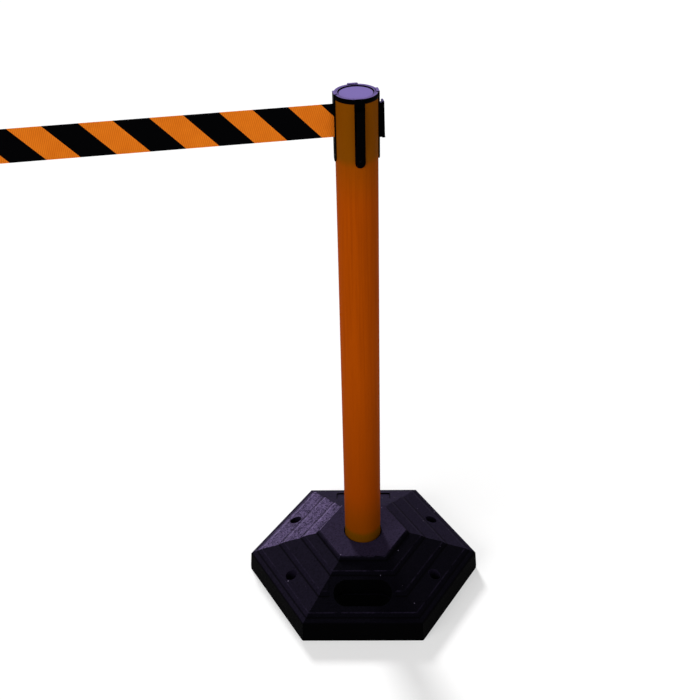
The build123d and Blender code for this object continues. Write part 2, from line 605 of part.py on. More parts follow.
def guide_pin_places():
    """One pin inside the belt's bend and one on its other side, as (along, across)."""
    (roll_s, roll_w), (bend_s, _) = lead_points()
    back = atan2(roll_w, roll_s - bend_s)
    reach = GUIDE_PIN_RADIUS + BELT_THICKNESS / 2 + SLIP_FIT
    return [(bend_s + reach / sin(back / 2) * cos(back / 2), reach), (bend_s, -reach)]


def make_belt_lead():
    """Short stretch of belt from the roll to the exit."""
    (roll_s, roll_w), (bend_s, _) = lead_points()
    length = hypot(bend_s - roll_s, roll_w)
    slope = degrees(atan2(-roll_w, bend_s - roll_s))
    slant = Pos((roll_s + bend_s) / 2, roll_w / 2) * Rot(0, 0, slope) * Rectangle(length, BELT_THICKNESS)
    straight = Pos((bend_s + BELT_START) / 2, 0) * Rectangle(BELT_START - bend_s, BELT_THICKNESS)
    section = slant + straight + Pos(bend_s, 0) * Circle(BELT_THICKNESS / 2)
    return extrude(Pos(0, 0, BELT_BOTTOM) * section, BELT_WIDTH)


def make_cassette():
    """Housing of the reel, open at the top, with a window for the belt."""
    body = rod(CASSETTE_RADIUS, CASSETTE_BOTTOM, CASSETTE_TOP)
    body -= rod(CASSETTE_BORE_R, CASSETTE_FLOOR_TOP, CASSETTE_TOP + 1)
    body -= rod(SPINDLE_R + SLIP_FIT, CASSETTE_BOTTOM - 1, CASSETTE_TOP)
    across = (-BELT_THICKNESS - 2 * GUIDE_PIN_RADIUS, DRUM_RADIUS)
    body -= block((BRAKE_SHOE_INNER, CASSETTE_RADIUS + 1), across, (LOWER_FLANGE_BOTTOM, UPPER_FLANGE_TOP))
    hole_r = CHANNEL_SCREW_DIAMETER / 2 + SLIP_FIT
    hole = lying_rod(hole_r, CASSETTE_BORE_R - 1, CASSETTE_RADIUS + 1, CHANNEL_SCREW_HEIGHT)
    for angle in CHANNEL_ANGLES:
        body -= around(hole, angle)
    return body


def make_cassette_cover():
    """Cover over the reel."""
    return tube(CASSETTE_RADIUS, SPINDLE_R + SLIP_FIT, CASSETTE_TOP, CASSETTE_TOP + COVER_THICKNESS)


def make_guide_pins():
    """Two steel pins that steer the belt into the exit."""
    low, high = LOWER_FLANGE_TOP, UPPER_FLANGE_BOTTOM
    return [rod(GUIDE_PIN_RADIUS, low, high, place) for place in guide_pin_places()]


def make_spindle():
    """Fixed spindle with a groove for a clip at each end."""
    spindle = rod(SPINDLE_R, SPINDLE_BOTTOM, SPINDLE_TOP)
    for low in clip_ring_heights():
        groove = tube(SPINDLE_R + 1, SPINDLE_R - GROOVE_DEPTH, low, low + CLIP_RING_THICKNESS)
        spindle -= groove
    return spindle


def clip_ring_heights():
    """Undersides of the two clips."""
    return [CASSETTE_BOTTOM - CLIP_RING_THICKNESS, CASSETTE_TOP + COVER_THICKNESS]


def make_spindle_clips():
    """Open rings snapped into the grooves."""
    rings = []
    for low in clip_ring_heights():
        groove_r = SPINDLE_R - GROOVE_DEPTH + SLIP_FIT
        ring = tube(CLIP_RING_DIAMETER / 2, groove_r, low, low + CLIP_RING_THICKNESS)
        gap = SPINDLE_R - GROOVE_DEPTH
        rings.append(ring - block((0, CLIP_RING_DIAMETER), (-gap, gap), (low - 1, low + 2)))
    return rings


def make_drum():
    """Spool drum: two flanges, a hub and the arbor that winds the spring."""
    drum = rod(DRUM_RADIUS, LOWER_FLANGE_BOTTOM, UPPER_FLANGE_TOP)
    drum += rod(FLANGE_RADIUS, LOWER_FLANGE_BOTTOM, LOWER_FLANGE_TOP)
    drum += rod(FLANGE_RADIUS, UPPER_FLANGE_BOTTOM, UPPER_FLANGE_TOP)
    drum += rod(ARBOR_RADIUS, arbor_bottom(), LOWER_FLANGE_TOP)
    drum -= rod(BUSH_DIAMETER / 2 + SLIP_FIT, arbor_bottom() - 1, UPPER_FLANGE_TOP + 1)
    for place in brake_pin_places():
        drum -= rod(BRAKE_PIN_RADIUS + SLIP_FIT, LOWER_FLANGE_BOTTOM - 1, brake_pin_top(), place)
    return drum


def arbor_bottom():
    """Underside of the spool, just clear of the spring cup's floor."""
    return CUP_BOTTOM + CUP_WALL + PIECE_GAP


def make_bushes():
    """Bushes at the spool's two ends."""
    bore = SPINDLE_R + RUNNING_FIT
    low = arbor_bottom()
    lower = tube(BUSH_DIAMETER / 2, bore, low, low + BUSH_LENGTH)
    upper = tube(BUSH_DIAMETER / 2, bore, UPPER_FLANGE_TOP - BUSH_LENGTH, UPPER_FLANGE_TOP)
    return [lower, upper]


def make_belt_roll():
    """Belt still wound on the drum."""
    return tube(ROLL_R, DRUM_RADIUS + SLIP_FIT, BELT_BOTTOM, BELT_TOP)


def make_spring_cup():
    """Cup that holds the spring's outer end."""
    cup = rod(CUP_R, CUP_BOTTOM, CUP_TOP) - rod(CUP_R - CUP_WALL, CUP_BOTTOM + CUP_WALL, CUP_TOP + 1)
    return cup - rod(SPINDLE_R + PIECE_GAP, CUP_BOTTOM - 1, CUP_TOP)


def make_spring_cover():
    """Cover between the spring and the brake."""
    low = SPRING_COVER_BOTTOM
    return tube(CUP_R, ARBOR_RADIUS + PIECE_GAP, low, low + CUP_WALL)


def half_ring(inner, upper, centre_x):
    """Half of a flat ring on one side of the X axis."""
    outer = inner + SPRING_THICKNESS
    side = 1 if upper else -1
    cover = Pos(centre_x, side * outer) * Rectangle(4 * outer, 2 * outer)
    return (Pos(centre_x, 0) * (Circle(outer) - Circle(inner))) & cover


def make_power_spring():
    """Flat spiral spring, built from half turns about two centres."""
    growth = SPRING_PITCH / 2
    section = half_ring(ARBOR_RADIUS + PIECE_GAP, True, 0.0)
    for index in range(1, SPRING_HALF_TURNS):
        upper = index % 2 == 0
        section += half_ring(ARBOR_RADIUS + PIECE_GAP + index * growth, upper, 0.0 if upper else growth)
    low = CUP_BOTTOM + CUP_WALL + (CUP_HEIGHT - SPRING_HEIGHT) / 2
    return extrude(Pos(0, 0, low) * section, SPRING_HEIGHT)


def brake_pin_places():
    """Axes of the two brake shoes."""
    return [(BRAKE_PIN_CIRCLE, 0.0), (-BRAKE_PIN_CIRCLE, 0.0)]


def brake_pin_top():
    """The pins stop inside the lower flange."""
    return LOWER_FLANGE_TOP - FLANGE_THICKNESS / 3


def make_brake_pins():
    """Pins pressed up into the lower flange."""
    return [rod(BRAKE_PIN_RADIUS, SHOE_BOTTOM, brake_pin_top(), place) for place in brake_pin_places()]


def make_brake_shoe(side):
    """Curved shoe that swings out against the ring when the spool runs fast."""
    ring = Circle(BRAKE_SHOE_OUTER) - Circle(BRAKE_SHOE_INNER)
    reach = 2 * BRAKE_SHOE_OUTER
    bearings = [radians(BRAKE_SHOE_SPAN * third / 3 - BRAKE_SHOE_HEEL) for third in range(4)]
    rays = [(reach * cos(bearing), reach * sin(bearing)) for bearing in bearings]
    sector = make_face(Polyline((0, 0), *rays, close=True))
    shoe = extrude(Pos(0, 0, SHOE_BOTTOM) * (ring & sector), BRAKE_SHOE_THICKNESS)
    shoe -= rod(BRAKE_PIN_RADIUS + RUNNING_FIT, SHOE_BOTTOM - 1, SHOE_TOP + 1, (BRAKE_PIN_CIRCLE, 0.0))
    return around(shoe, side)


def make_brake_ring():
    """Steel ring that the shoes rub on."""
    top = LOWER_FLANGE_BOTTOM - PIECE_GAP
    return tube(BRAKE_RING_R, BRAKE_RING_R - BRAKE_RING_THICKNESS, BRAKE_RING_BOTTOM, top)


# ---------------------------------------------------------------- belt and its end clip
def make_belt_webbing():
    """Straight belt from the exit to its end clip, drawn along +X."""
    half = BELT_THICKNESS / 2
    return block((BELT_START, BELT_END), (-half, half), (BELT_BOTTOM, BELT_TOP))


def clip_envelope():
    """Outside of the end clip."""
    body = block((CLIP_INNER, CLIP_OUTER), (-CLIP_WIDTH / 2, CLIP_WIDTH / 2), (CLIP_BOTTOM, CLIP_TOP))
    return fillet(body.edges(), CLIP_ROUND)


def clip_cuts():
    """Everything hollow inside the clip, as one cutter."""
    belt = CLIP_BELT_SLOT / 2
    cuts = block((CLIP_INNER - 1, BELT_END + PIECE_GAP), (-belt, belt), belt_way())
    cuts += belt_bar(SLIP_FIT)
    ceiling = CLIP_TOP - CLIP_TOP_WALL
    pocket = RAIL_HEAD_WIDTH / 2 + RAIL_CLEARANCE
    cuts += block((POCKET_INNER, POCKET_OUTER), (-pocket, pocket), (CLIP_BOTTOM - 1, ceiling))
    mouth = RAIL_STEM_WIDTH / 2 + RAIL_CLEARANCE
    cuts += block((POCKET_OUTER - 1, CLIP_OUTER + 1), (-mouth, mouth), (CLIP_BOTTOM - 1, ceiling))
    outer = CLIP_WIDTH / 2
    hole_tip = CLIP_SCREW_SKIN / 2 - outer
    seat = outer - CLIP_SCREW_SEAT - SLIP_FIT
    for z in clip_screw_heights():
        cuts += cross_rod(CLIP_SCREW_RADIUS + SLIP_FIT, hole_tip, outer + 1, clip_screw_s(), z)
        cuts += cross_rod(CLIP_SCREW_HEAD + SLIP_FIT, seat, outer + 1, clip_screw_s(), z)
    return cuts + latch_way()


def clip_screw_heights():
    """Heights of the two screws, just clear of the belt's edges."""
    middle = CLIP_OVER_BELT / 2
    return [CLIP_BOTTOM + middle, CLIP_TOP - middle]


def clip_screw_s():
    """Distance of the clip's screws from the post's axis."""
    return CLIP_INNER + CLIP_SCREW_INSET


def clip_screw(z):
    """One clip screw, along Y, with its head let into the +Y side."""
    outer = CLIP_WIDTH / 2
    shank_end = outer - CLIP_SCREW_SEAT / 2
    shank = cross_rod(CLIP_SCREW_RADIUS, CLIP_SCREW_SKIN - outer, shank_end, clip_screw_s(), z)
    return shank + cross_rod(CLIP_SCREW_HEAD, outer - CLIP_SCREW_SEAT, outer - PIECE_GAP, clip_screw_s(), z)


def latch_middle():
    """Middle of the latch bolt, as (distance, height)."""
    return (POCKET_INNER + POCKET_OUTER) / 2, CLIP_BOTTOM + LATCH_LIFT + LATCH_HEIGHT / 2


def latch_way():
    """Hole through the -Y wall for the latch bolt."""
    s, z = latch_middle()
    half = LATCH_HEIGHT / 2 + RUNNING_FIT
    return block((s - half, s + half), (-CLIP_WIDTH, -RAIL_HEAD_WIDTH / 2), (z - half, z + half))


def make_latch_bolt():
    """Square bolt that closes the pocket's way out, with a round knob outside."""
    s, z = latch_middle()
    half = LATCH_HEIGHT / 2
    inner = -RAIL_HEAD_WIDTH / 2 - RAIL_CLEARANCE + LATCH_TRAVEL
    knob_inner = -CLIP_WIDTH / 2 - PIECE_GAP
    bar = block((s - half, s + half), (knob_inner - 1, inner), (z - half, z + half))
    knob = cross_rod(LATCH_KNOB / 2, knob_inner - LATCH_KNOB_LENGTH, knob_inner, s, z)
    return bar + chamfer(knob.edges().sort_by(Axis.Y)[0], PIECE_GAP)


def clip_half(sign):
    """One side of the clip, parted on the belt's plane."""
    side = (0.0, CLIP_WIDTH) if sign > 0 else (-CLIP_WIDTH, 0.0)
    keep = block((CLIP_INNER - 1, CLIP_OUTER + 1), side, (CLIP_BOTTOM - 1, CLIP_TOP + 1))
    return (clip_envelope() & keep) - clip_cuts()


def belt_bar(clearance=0.0):
    """Steel bar that the belt's end is looped round, or the hole for it."""
    low = BELT_BOTTOM - CLIP_OVER_BELT / 2 - clearance
    return rod(BAR_RADIUS + clearance, low, BELT_TOP + CLIP_OVER_BELT / 2 + clearance, (BAR_S, 0.0))


# ---------------------------------------------------------------- write one file per node
def on_post(shape):
    """Turn a piece with the post."""
    return around(shape, HEAD_TURN)


def on_exit(shape):
    """Face a piece drawn along +X out through the belt exit."""
    return around(shape, EXIT_ANGLE + HEAD_TURN)


def group(shapes):
    """Several solids that share one node."""
    return Compound(children=[shape.solid() for shape in shapes])


def all_nodes():
    """Every node and its shape."""
    nodes = {
        "base_block": make_base_block(),
        "socket_sleeve": make_socket_sleeve(),
        "backing_plate": make_backing_plate(),
        "post_tube": on_post(make_post_tube()),
        "foot_plug": on_post(make_foot_plug()),
        "plug_rivets": group([on_post(around(plug_rivet(), side)) for side in (0, 180)]),
        "clamp_bolt": on_post(make_clamp_bolt()),
        "clamp_nut": on_post(make_clamp_nut()),
        "clamp_washer": on_post(make_clamp_washer()),
        "collar": on_post(make_collar()),
        "lid": on_post(make_lid()),
        "lid_disc": on_post(make_lid_disc()),
        "lid_screws": group([on_post(lid_screw(place)) for place in lid_screw_places()]),
        "exit_channel": on_exit(make_exit_channel()),
        "channel_screws": group([on_post(around(channel_screw(), angle)) for angle in CHANNEL_ANGLES]),
        "cassette": on_exit(make_cassette()),
        "cassette_cover": on_post(make_cassette_cover()),
        "guide_pins": group([on_exit(pin) for pin in make_guide_pins()]),
        "spindle": on_post(make_spindle()),
        "spindle_clips": group([on_post(ring) for ring in make_spindle_clips()]),
        "spool_drum": on_post(make_drum()),
        "spool_bushes": group([on_post(bush) for bush in make_bushes()]),
        "belt_roll": on_post(make_belt_roll()),
        "belt_lead": on_exit(make_belt_lead()),
        "spring_cup": on_post(make_spring_cup()),
        "spring_cover": on_post(make_spring_cover()),
        "power_spring": on_post(make_power_spring()),
        "brake_pins": group([on_post(pin) for pin in make_brake_pins()]),
        "brake_shoe_a": on_post(make_brake_shoe(0)),
        "brake_shoe_b": on_post(make_brake_shoe(180)),
        "brake_ring": on_post(make_brake_ring()),
        "belt_webbing": on_exit(make_belt_webbing()),
        "clip_half_a": on_exit(clip_half(1)),
        "clip_half_b": on_exit(clip_half(-1)),
        "clip_screws": group([on_exit(clip_screw(z)) for z in clip_screw_heights()]),
        "belt_bar": on_exit(belt_bar()),
        "latch_bolt": on_exit(make_latch_bolt()),
    }
    for name, angle in RECEIVERS.items():
        nodes["channel_" + name] = on_post(around(make_receiver_channel(), angle))
        nodes["rail_" + name] = on_post(around(make_rail(), angle))
    return nodes


def main():
    os.makedirs("parts", exist_ok=True)
    for node, shape in all_nodes().items():
        export_step(shape, "parts/" + node + ".step")
    print("roll radius", round(ROLL_R, 2), "belt on reel", round(BELT_ON_REEL, 1))
    print("clip from", round(CLIP_INNER, 1), "to", round(CLIP_OUTER, 1))


main()
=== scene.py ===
"""Looks of a barrier post with a pull-out belt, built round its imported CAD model.

Metres, +Z up, in the model's own frame: the origin is the centre of the base's underside, the hand hole
faces -Y and the belt leaves the head towards -X, turned by BELT_TURN_DEG. HAIR is the gap below which two
lengths count as equal.
"""
import json
import logging
import math
from collections.abc import Callable, Iterable
from dataclasses import dataclass
from enum import Enum

import bpy
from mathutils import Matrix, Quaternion, Vector


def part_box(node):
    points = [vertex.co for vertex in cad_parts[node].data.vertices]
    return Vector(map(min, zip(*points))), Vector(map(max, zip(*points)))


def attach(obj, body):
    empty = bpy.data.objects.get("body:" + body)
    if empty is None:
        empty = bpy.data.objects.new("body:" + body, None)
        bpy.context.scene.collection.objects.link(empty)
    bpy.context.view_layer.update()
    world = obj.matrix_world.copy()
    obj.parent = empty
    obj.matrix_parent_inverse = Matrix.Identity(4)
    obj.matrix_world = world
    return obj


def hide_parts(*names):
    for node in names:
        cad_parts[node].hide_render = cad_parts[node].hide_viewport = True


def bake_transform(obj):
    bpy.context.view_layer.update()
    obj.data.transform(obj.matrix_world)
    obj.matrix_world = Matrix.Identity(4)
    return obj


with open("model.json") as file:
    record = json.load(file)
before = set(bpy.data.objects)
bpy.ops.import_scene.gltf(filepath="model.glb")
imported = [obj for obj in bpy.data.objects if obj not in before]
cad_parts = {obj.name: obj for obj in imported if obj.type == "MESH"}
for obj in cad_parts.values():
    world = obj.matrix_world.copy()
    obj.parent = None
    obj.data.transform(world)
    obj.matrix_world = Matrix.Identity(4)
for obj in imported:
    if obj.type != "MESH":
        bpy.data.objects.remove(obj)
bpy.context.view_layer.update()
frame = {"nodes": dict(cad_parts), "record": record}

LOG = logging.getLogger("barrier_post")
MM = 0.001
LAMP_REACH = 3.0
HAIR = 0.01 * MM
BELT_TURN_DEG = 10.0
CLIP_NODES = ("clip_half_a", "clip_half_b", "clip_screws", "belt_bar", "latch_bolt")
Colour = tuple[float, float, float]
Piece = bpy.types.Object
Socket = bpy.types.NodeSocket
Value = Socket | float | tuple[float, ...]


class Slot(Enum):
    """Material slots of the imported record."""

    RUBBER = "rubber"
    ORANGE_PLASTIC = "orange_plastic"
    BLACK_PLASTIC = "black_plastic"
    RAIL_PLASTIC = "rail_plastic"
    LID_PLASTIC = "lid_plastic"
    LATCH_PLASTIC = "latch_plastic"
    WHITE_PLASTIC = "white_plastic"
    BELT_FABRIC = "belt_fabric"
    ZINC_STEEL = "zinc_steel"
    DARK_STEEL = "dark_steel"
    SPRING_STEEL = "spring_steel"
    BRASS = "brass"
    BRAKE_LINING = "brake_lining"


class Body(Enum):
    """Moving bodies that new pieces ride on."""

    POST = "post"
    BELT_END = "belt_end"


# ------------------------------------------------------------------------------------ shader graphs
class Graph:
    """Node tree of one material, with a short call for each kind of node."""

    def __init__(self, name: str) -> None:
        """Start a material that holds only its shader.

        Args:
            name: Name of the material.
        """
        self.material = bpy.data.materials.new(name)
        self.material.use_nodes = True
        self.nodes = self.material.node_tree.nodes
        self.links = self.material.node_tree.links
        self.shader = self.nodes["Principled BSDF"]
        self.place = self.nodes.new("ShaderNodeTexCoord").outputs["Object"]
        self.facing = self.nodes.new("ShaderNodeNewGeometry").outputs["Normal"]

    def feed(self, socket: Socket, value: Value) -> None:
        """Link another node's output to a socket, or set the socket's own value.

        Args:
            socket: The input to fill.
            value: An output socket, a number or a tuple.
        """
        if isinstance(value, Socket):
            self.links.new(value, socket)
        elif isinstance(value, tuple) and len(value) == 3 and len(socket.default_value) == 4:
            socket.default_value = (*value, 1.0)
        else:
            socket.default_value = value

    def surface(self, **values: Value) -> None:
        """Fill the shader's inputs, named in lower case with underscores.

        Args:
            **values: A value for each input, such as base_color or roughness.
        """
        sockets = {socket.name.lower().replace(" ", "_"): socket for socket in self.shader.inputs}
        for name, value in values.items():
            self.feed(sockets[name], value)

    def sum(self, operation: str, *values: Value) -> Socket:
        """Work a number out with a Math node.

        Args:
            operation: The node's operation, such as ADD or FRACT.
            *values: Its inputs in order.

        Returns:
            The result's socket.
        """
        node = self.nodes.new("ShaderNodeMath")
        node.operation = operation
        for socket, value in zip(node.inputs, values):
            self.feed(socket, value)
        return node.outputs[0]

    def along(self, vector: Socket, direction: Iterable[float]) -> Socket:
        """Length of a vector along a direction.

        Args:
            vector: Socket of the vector.
            direction: The direction, of unit length.

        Returns:
            The socket of their dot product.
        """
        node = self.nodes.new("ShaderNodeVectorMath")
        node.operation = "DOT_PRODUCT"
        self.links.new(vector, node.inputs[0])
        node.inputs[1].default_value = tuple(direction)
        return node.outputs["Value"]

    @property
    def x(self) -> Socket:
        """Place along X."""
        return self.along(self.place, (1.0, 0.0, 0.0))

    @property
    def y(self) -> Socket:
        """Place along Y."""
        return self.along(self.place, (0.0, 1.0, 0.0))

    @property
    def z(self) -> Socket:
        """Place along Z."""
        return self.along(self.place, (0.0, 0.0, 1.0))

    @property
    def upward(self) -> Socket:
        """How far the surface faces up."""
        return self.along(self.facing, (0.0, 0.0, 1.0))

    def distance(self, aside: Socket, ahead: Socket) -> Socket:
        """Length of a level offset.

        Args:
            aside: The offset's part along X.
            ahead: Its part along Y.

        Returns:
            The length's socket.
        """
        return self.sum("SQRT", self.sum("MULTIPLY_ADD", aside, aside, self.sum("MULTIPLY", ahead, ahead)))

    def stretched(self, scale: Iterable[float], turn_deg: Iterable[float] = (0.0, 0.0, 0.0)) -> Socket:
        """Object coordinates scaled and turned by a Mapping node.

        Args:
            scale: Factors along X, Y and Z.
            turn_deg: Turns about X, Y and Z in degrees.

        Returns:
            The socket of the new coordinates.
        """
        node = self.nodes.new("ShaderNodeMapping")
        self.links.new(self.place, node.inputs["Vector"])
        node.inputs["Scale"].default_value = tuple(scale)
        node.inputs["Rotation"].default_value = tuple(math.radians(angle) for angle in turn_deg)
        return node.outputs["Vector"]

    def noise(
        self, size: float, detail: float = 3.0, roughness: float = 0.55, at: Socket | None = None
    ) -> Socket:
        """Noise with features of about a given size.

        Args:
            size: Width of a feature in metres.
            detail: Octaves of finer noise.
            roughness: Strength of each finer octave.
            at: Coordinates to read, or None for the object's own.

        Returns:
            The socket of a factor that is mostly between 0.25 and 0.75.
        """
        node = self.nodes.new("ShaderNodeTexNoise")
        self.links.new(at or self.place, node.inputs["Vector"])
        node.inputs["Scale"].default_value = 1.0 / size
        node.inputs["Detail"].default_value = detail
        node.inputs["Roughness"].default_value = roughness
        return node.outputs["Fac"]

    def cells(self, size: float, output: str = "Distance") -> Socket:
        """Irregular cells of a given size.

        Args:
            size: Width of a cell in metres.
            output: Which of the node's outputs is wanted.

        Returns:
            The socket of that output.
        """
        node = self.nodes.new("ShaderNodeTexVoronoi")
        self.links.new(self.place, node.inputs["Vector"])
        node.inputs["Scale"].default_value = 1.0 / size
        return node.outputs[output]

    def fade(self, value: Socket, low: float, high: float, top: float = 1.0) -> Socket:
        """Smooth step from 0 at low to top at high, which may be the lower number.

        Args:
            value: Socket to read.
            low: Value at which the step is 0.
            high: Value at which the step is complete.
            top: Height of the step.

        Returns:
            The step's socket.
        """
        node = self.nodes.new("ShaderNodeMapRange")
        node.interpolation_type = "SMOOTHSTEP"
        backwards = low > high
        ends = (high, low, top, 0.0) if backwards else (low, high, 0.0, top)
        self.links.new(value, node.inputs["Value"])
        for name, end in zip(("From Min", "From Max", "To Min", "To Max"), ends):
            node.inputs[name].default_value = end
        return node.outputs["Result"]

    def blend(self, amount: Value, first: Value, second: Value) -> Socket:
        """Mix two colours.

        Args:
            amount: 0 for the first, 1 for the second.
            first: A colour.
            second: Another colour.

        Returns:
            The mixed colour's socket.
        """
        node = self.nodes.new("ShaderNodeMix")
        node.data_type = "RGBA"
        self.feed(node.inputs[0], amount)
        self.feed(node.inputs[6], first)
        self.feed(node.inputs[7], second)
        return node.outputs[2]

    def relief(self, height: Socket, depth: float, under: Socket | None = None) -> Socket:
        """Turn a height between 0 and 1 into a bumped normal.

        Args:
            height: Socket of the height.
            depth: Height of the relief in metres.
            under: A coarser relief that this one lies on.

        Returns:
            The normal's socket.
        """
        node = self.nodes.new("ShaderNodeBump")
        node.inputs["Distance"].default_value = depth
        self.links.new(height, node.inputs["Height"])
        if under is not None:
            self.links.new(under, node.inputs["Normal"])
        return node.outputs["Normal"]


# ------------------------------------------------------------------------------------ finishes
def dimmed(colour: Colour, share: float) -> Colour:
    """A colour at a share of its brightness."""
    return tuple(share * part for part in colour)


@dataclass(frozen=True)
class GranularRubber:
    """Moulded rubber crumb: black in the walls; painted light lightens the dusty tops and puts a sheen on
    one side.
    """

    wall: Colour = (0.0002, 0.00015, 0.0003)
    # Painted shade on faces turned away from the light behind; the next colour is dust lit by painted light
    # on faces turned to it.
    shaded: Colour = (0.0018, 0.0015, 0.0032)
    dust_and_light: Colour = (0.0150, 0.0112, 0.0260)
    # Level faces: dust with painted light from above.
    flat: Colour = (0.0220, 0.0160, 0.0370)
    # Painted sheen on the slopes that face the light.
    slope_sheen: Colour = (0.090, 0.066, 0.142)
    # Painted highlights along the terraces' upper edges, the second brighter on the side that faces the
    # light.
    edge: Colour = (0.017, 0.013, 0.028)
    bright_edge: Colour = (0.230, 0.180, 0.320)
    fleck: Colour = (0.20, 0.17, 0.25)
    crumb: float = 2.0 * MM
    patch: float = 30.0 * MM
    # Size of the blotches that break up the painted edge highlights.
    blotch_size: float = 14.0 * MM
    streak_width: float = 5.0 * MM
    grit_share: float = 0.55
    fleck_spacing: float = 8.0
    pit_spacing: float = 5.0
    crumb_depth: float = 0.35 * MM
    patch_depth: float = 0.8 * MM
    # Bearings from +X: first of the light behind, for painted light and shade, then of the painted sheen.
    light_deg: float = 110.0
    sheen_deg: float = 150.0
    roughness: float = 0.7
    riser_tops: tuple[float, ...] = (160.4 * MM, 125.0 * MM, 91.0 * MM, 68.5 * MM)
    riser_feet: tuple[float, ...] = (167.8 * MM, 132.4 * MM, 97.7 * MM, 72.7 * MM)
    rim_from: float = 168.5 * MM
    rim_soft: float = 2.0 * MM
    crest_line: float = 1.5 * MM
    foot_line: float = 2.2 * MM
    line: float = 1.1 * MM
    plain_half: float = 55.0 * MM
    plain_soft: float = 4.0 * MM
    plain_from: float = 100.0 * MM
    plain_to: float = 153.0 * MM
    hole_x: float = 126.61 * MM
    hole_y: float = 73.10 * MM
    hole_wall: float = 10.9 * MM
    hole_soft: float = 0.2 * MM
    panel_half: float = 50.5 * MM
    panel_from: float = 118.0 * MM
    panel_to: float = 154.5 * MM
    skirt_top: float = 39.0 * MM
    skirt_low: float = 37.5 * MM

    def hexagon_reach(self, graph: Graph) -> Socket:
        """Distance from the middle, measured square to the nearest flat.

        Args:
            graph: The material's graph.

        Returns:
            The distance's socket.
        """
        reach = graph.sum("ABSOLUTE", graph.y)
        for bearing_deg in (30.0, 150.0):
            slant = graph.along(graph.place, self.bearing(bearing_deg))
            reach = graph.sum("MAXIMUM", reach, graph.sum("ABSOLUTE", slant))
        return reach

    def lines_at(self, graph: Graph, reach: Socket, places: tuple[float, ...], half: float) -> Socket:
        """Thin lines at given distances from the middle.

        Args:
            graph: The material's graph.
            reach: The distance's socket.
            places: Distances of the lines.
            half: Half of a line's width.

        Returns:
            A factor that is 1 in the middle of a line.
        """
        total: Socket | None = None
        for place in places:
            away = graph.sum("ABSOLUTE", graph.sum("SUBTRACT", reach, place))
            mark = graph.fade(away, half, 0.0)
            total = mark if total is None else graph.sum("MAXIMUM", total, mark)
        width = graph.sum("ABSOLUTE", graph.x)
        beyond = graph.fade(width, self.plain_half, self.plain_half + self.plain_soft)
        outer = graph.fade(reach, self.plain_to, self.plain_to + self.line)
        inner = graph.fade(reach, self.plain_from, self.plain_from - self.line)
        return graph.sum("MULTIPLY", total, graph.sum("MAXIMUM", beyond, graph.sum("MAXIMUM", outer, inner)))

    def material(self) -> bpy.types.Material:
        """Build the rubber's node tree, from its tone at large down to its flecks and pits.

        Returns:
            The material.
        """
        graph = Graph("rubber_crumb")
        upward, reach = graph.upward, self.hexagon_reach(graph)
        level = graph.fade(upward, 0.965, 0.995)
        patches = graph.noise(self.patch, 4.0, 0.65)
        tone = graph.along(graph.cells(self.crumb, "Color"), (0.6, 0.4, 0.0))
        # Painted light and shade by which way a face turns: lit dust towards the light behind, painted shade
        # away from it.
        lit_side = graph.fade(self.side(graph, self.light_deg, upward), -0.9, 0.9)
        colour = graph.blend(lit_side, self.shaded, self.dust_and_light)
        # Level faces lighter: dust with painted light from above.
        colour = graph.blend(level, colour, self.flat)
        # Painted sheen on the slopes of the side that faces the light, inside the rim, broken up by crumbs,
        # patches and streaks.
        sheen_mask = self.sheen_slopes(graph, upward, level)
        sheen_mask = graph.sum("MULTIPLY", sheen_mask, self.inside_rim(graph, reach))
        sheen = graph.sum("MULTIPLY", sheen_mask, self.sheen_speckle(graph, tone, patches))
        colour = graph.blend(sheen, colour, self.slope_sheen)
        # Painted highlights along the terraces' upper edges.
        colour = graph.blend(self.crests(graph, reach, upward), colour, self.crest_colour(graph, reach))
        # Painted shade in the creases at the risers' feet.
        foot = self.lines_at(graph, reach, self.riser_feet, self.foot_line)
        colour = graph.blend(graph.sum("MULTIPLY", foot, 0.85), colour, self.wall)
        colour = graph.blend(graph.sum("MULTIPLY_ADD", tone, 0.8, 0.5), self.wall, colour)
        colour = graph.blend(graph.fade(upward, 0.08, 0.62), self.wall, colour)
        skirt = graph.fade(graph.z, self.skirt_top, self.skirt_low, 0.85)
        colour = graph.blend(skirt, colour, self.wall)
        # Painted shade along the ends of the sunk panel.
        colour = graph.blend(self.panel_outline(graph, reach), colour, self.wall)
        # The stake holes' walls are lightened halfway to the dust tone lit by painted light.
        colour = graph.blend(graph.sum("MULTIPLY", self.inside_holes(graph), 0.5), colour, self.dust_and_light)
        colour = graph.blend(self.flecks(graph, upward, patches), colour, self.fleck)
        fine = graph.noise(self.crumb * self.grit_share, 2.0, 0.7)
        pits = graph.fade(graph.cells(self.crumb * self.pit_spacing), 0.10, 0.05)
        height = graph.sum("MULTIPLY_ADD", fine, 0.6, graph.sum("MULTIPLY", tone, 0.5))
        height = graph.sum("SUBTRACT", height, pits)
        graph.surface(
            base_color=colour,
            roughness=graph.sum("MULTIPLY_ADD", fine, 0.2, self.roughness - 0.1),
            specular_ior_level=0.008,
            normal=graph.relief(height, self.crumb_depth, graph.relief(patches, self.patch_depth)),
        )
        return graph.material

    def sheen_slopes(self, graph: Graph, upward: Socket, level: Socket) -> Socket:
        """Slopes, but not level faces, on the side that takes the painted sheen.

        Args:
            graph: The material's graph.
            upward: How far the surface faces up.
            level: A factor that is 1 on level faces.

        Returns:
            A factor that is 1 on those slopes.
        """
        sheen_side = graph.fade(self.side(graph, self.sheen_deg, upward), 0.6, 0.9)
        sheen_facing = graph.sum("MULTIPLY", sheen_side, graph.fade(upward, 0.6, 0.85))
        return graph.sum("MULTIPLY", sheen_facing, graph.sum("SUBTRACT", 1.0, level))

    def inside_rim(self, graph: Graph, reach: Socket) -> Socket:
        """A factor that is 1 inside the lowest slope's outer rim, where reach is the distance to it."""
        return graph.fade(reach, self.rim_from + self.rim_soft, self.rim_from)

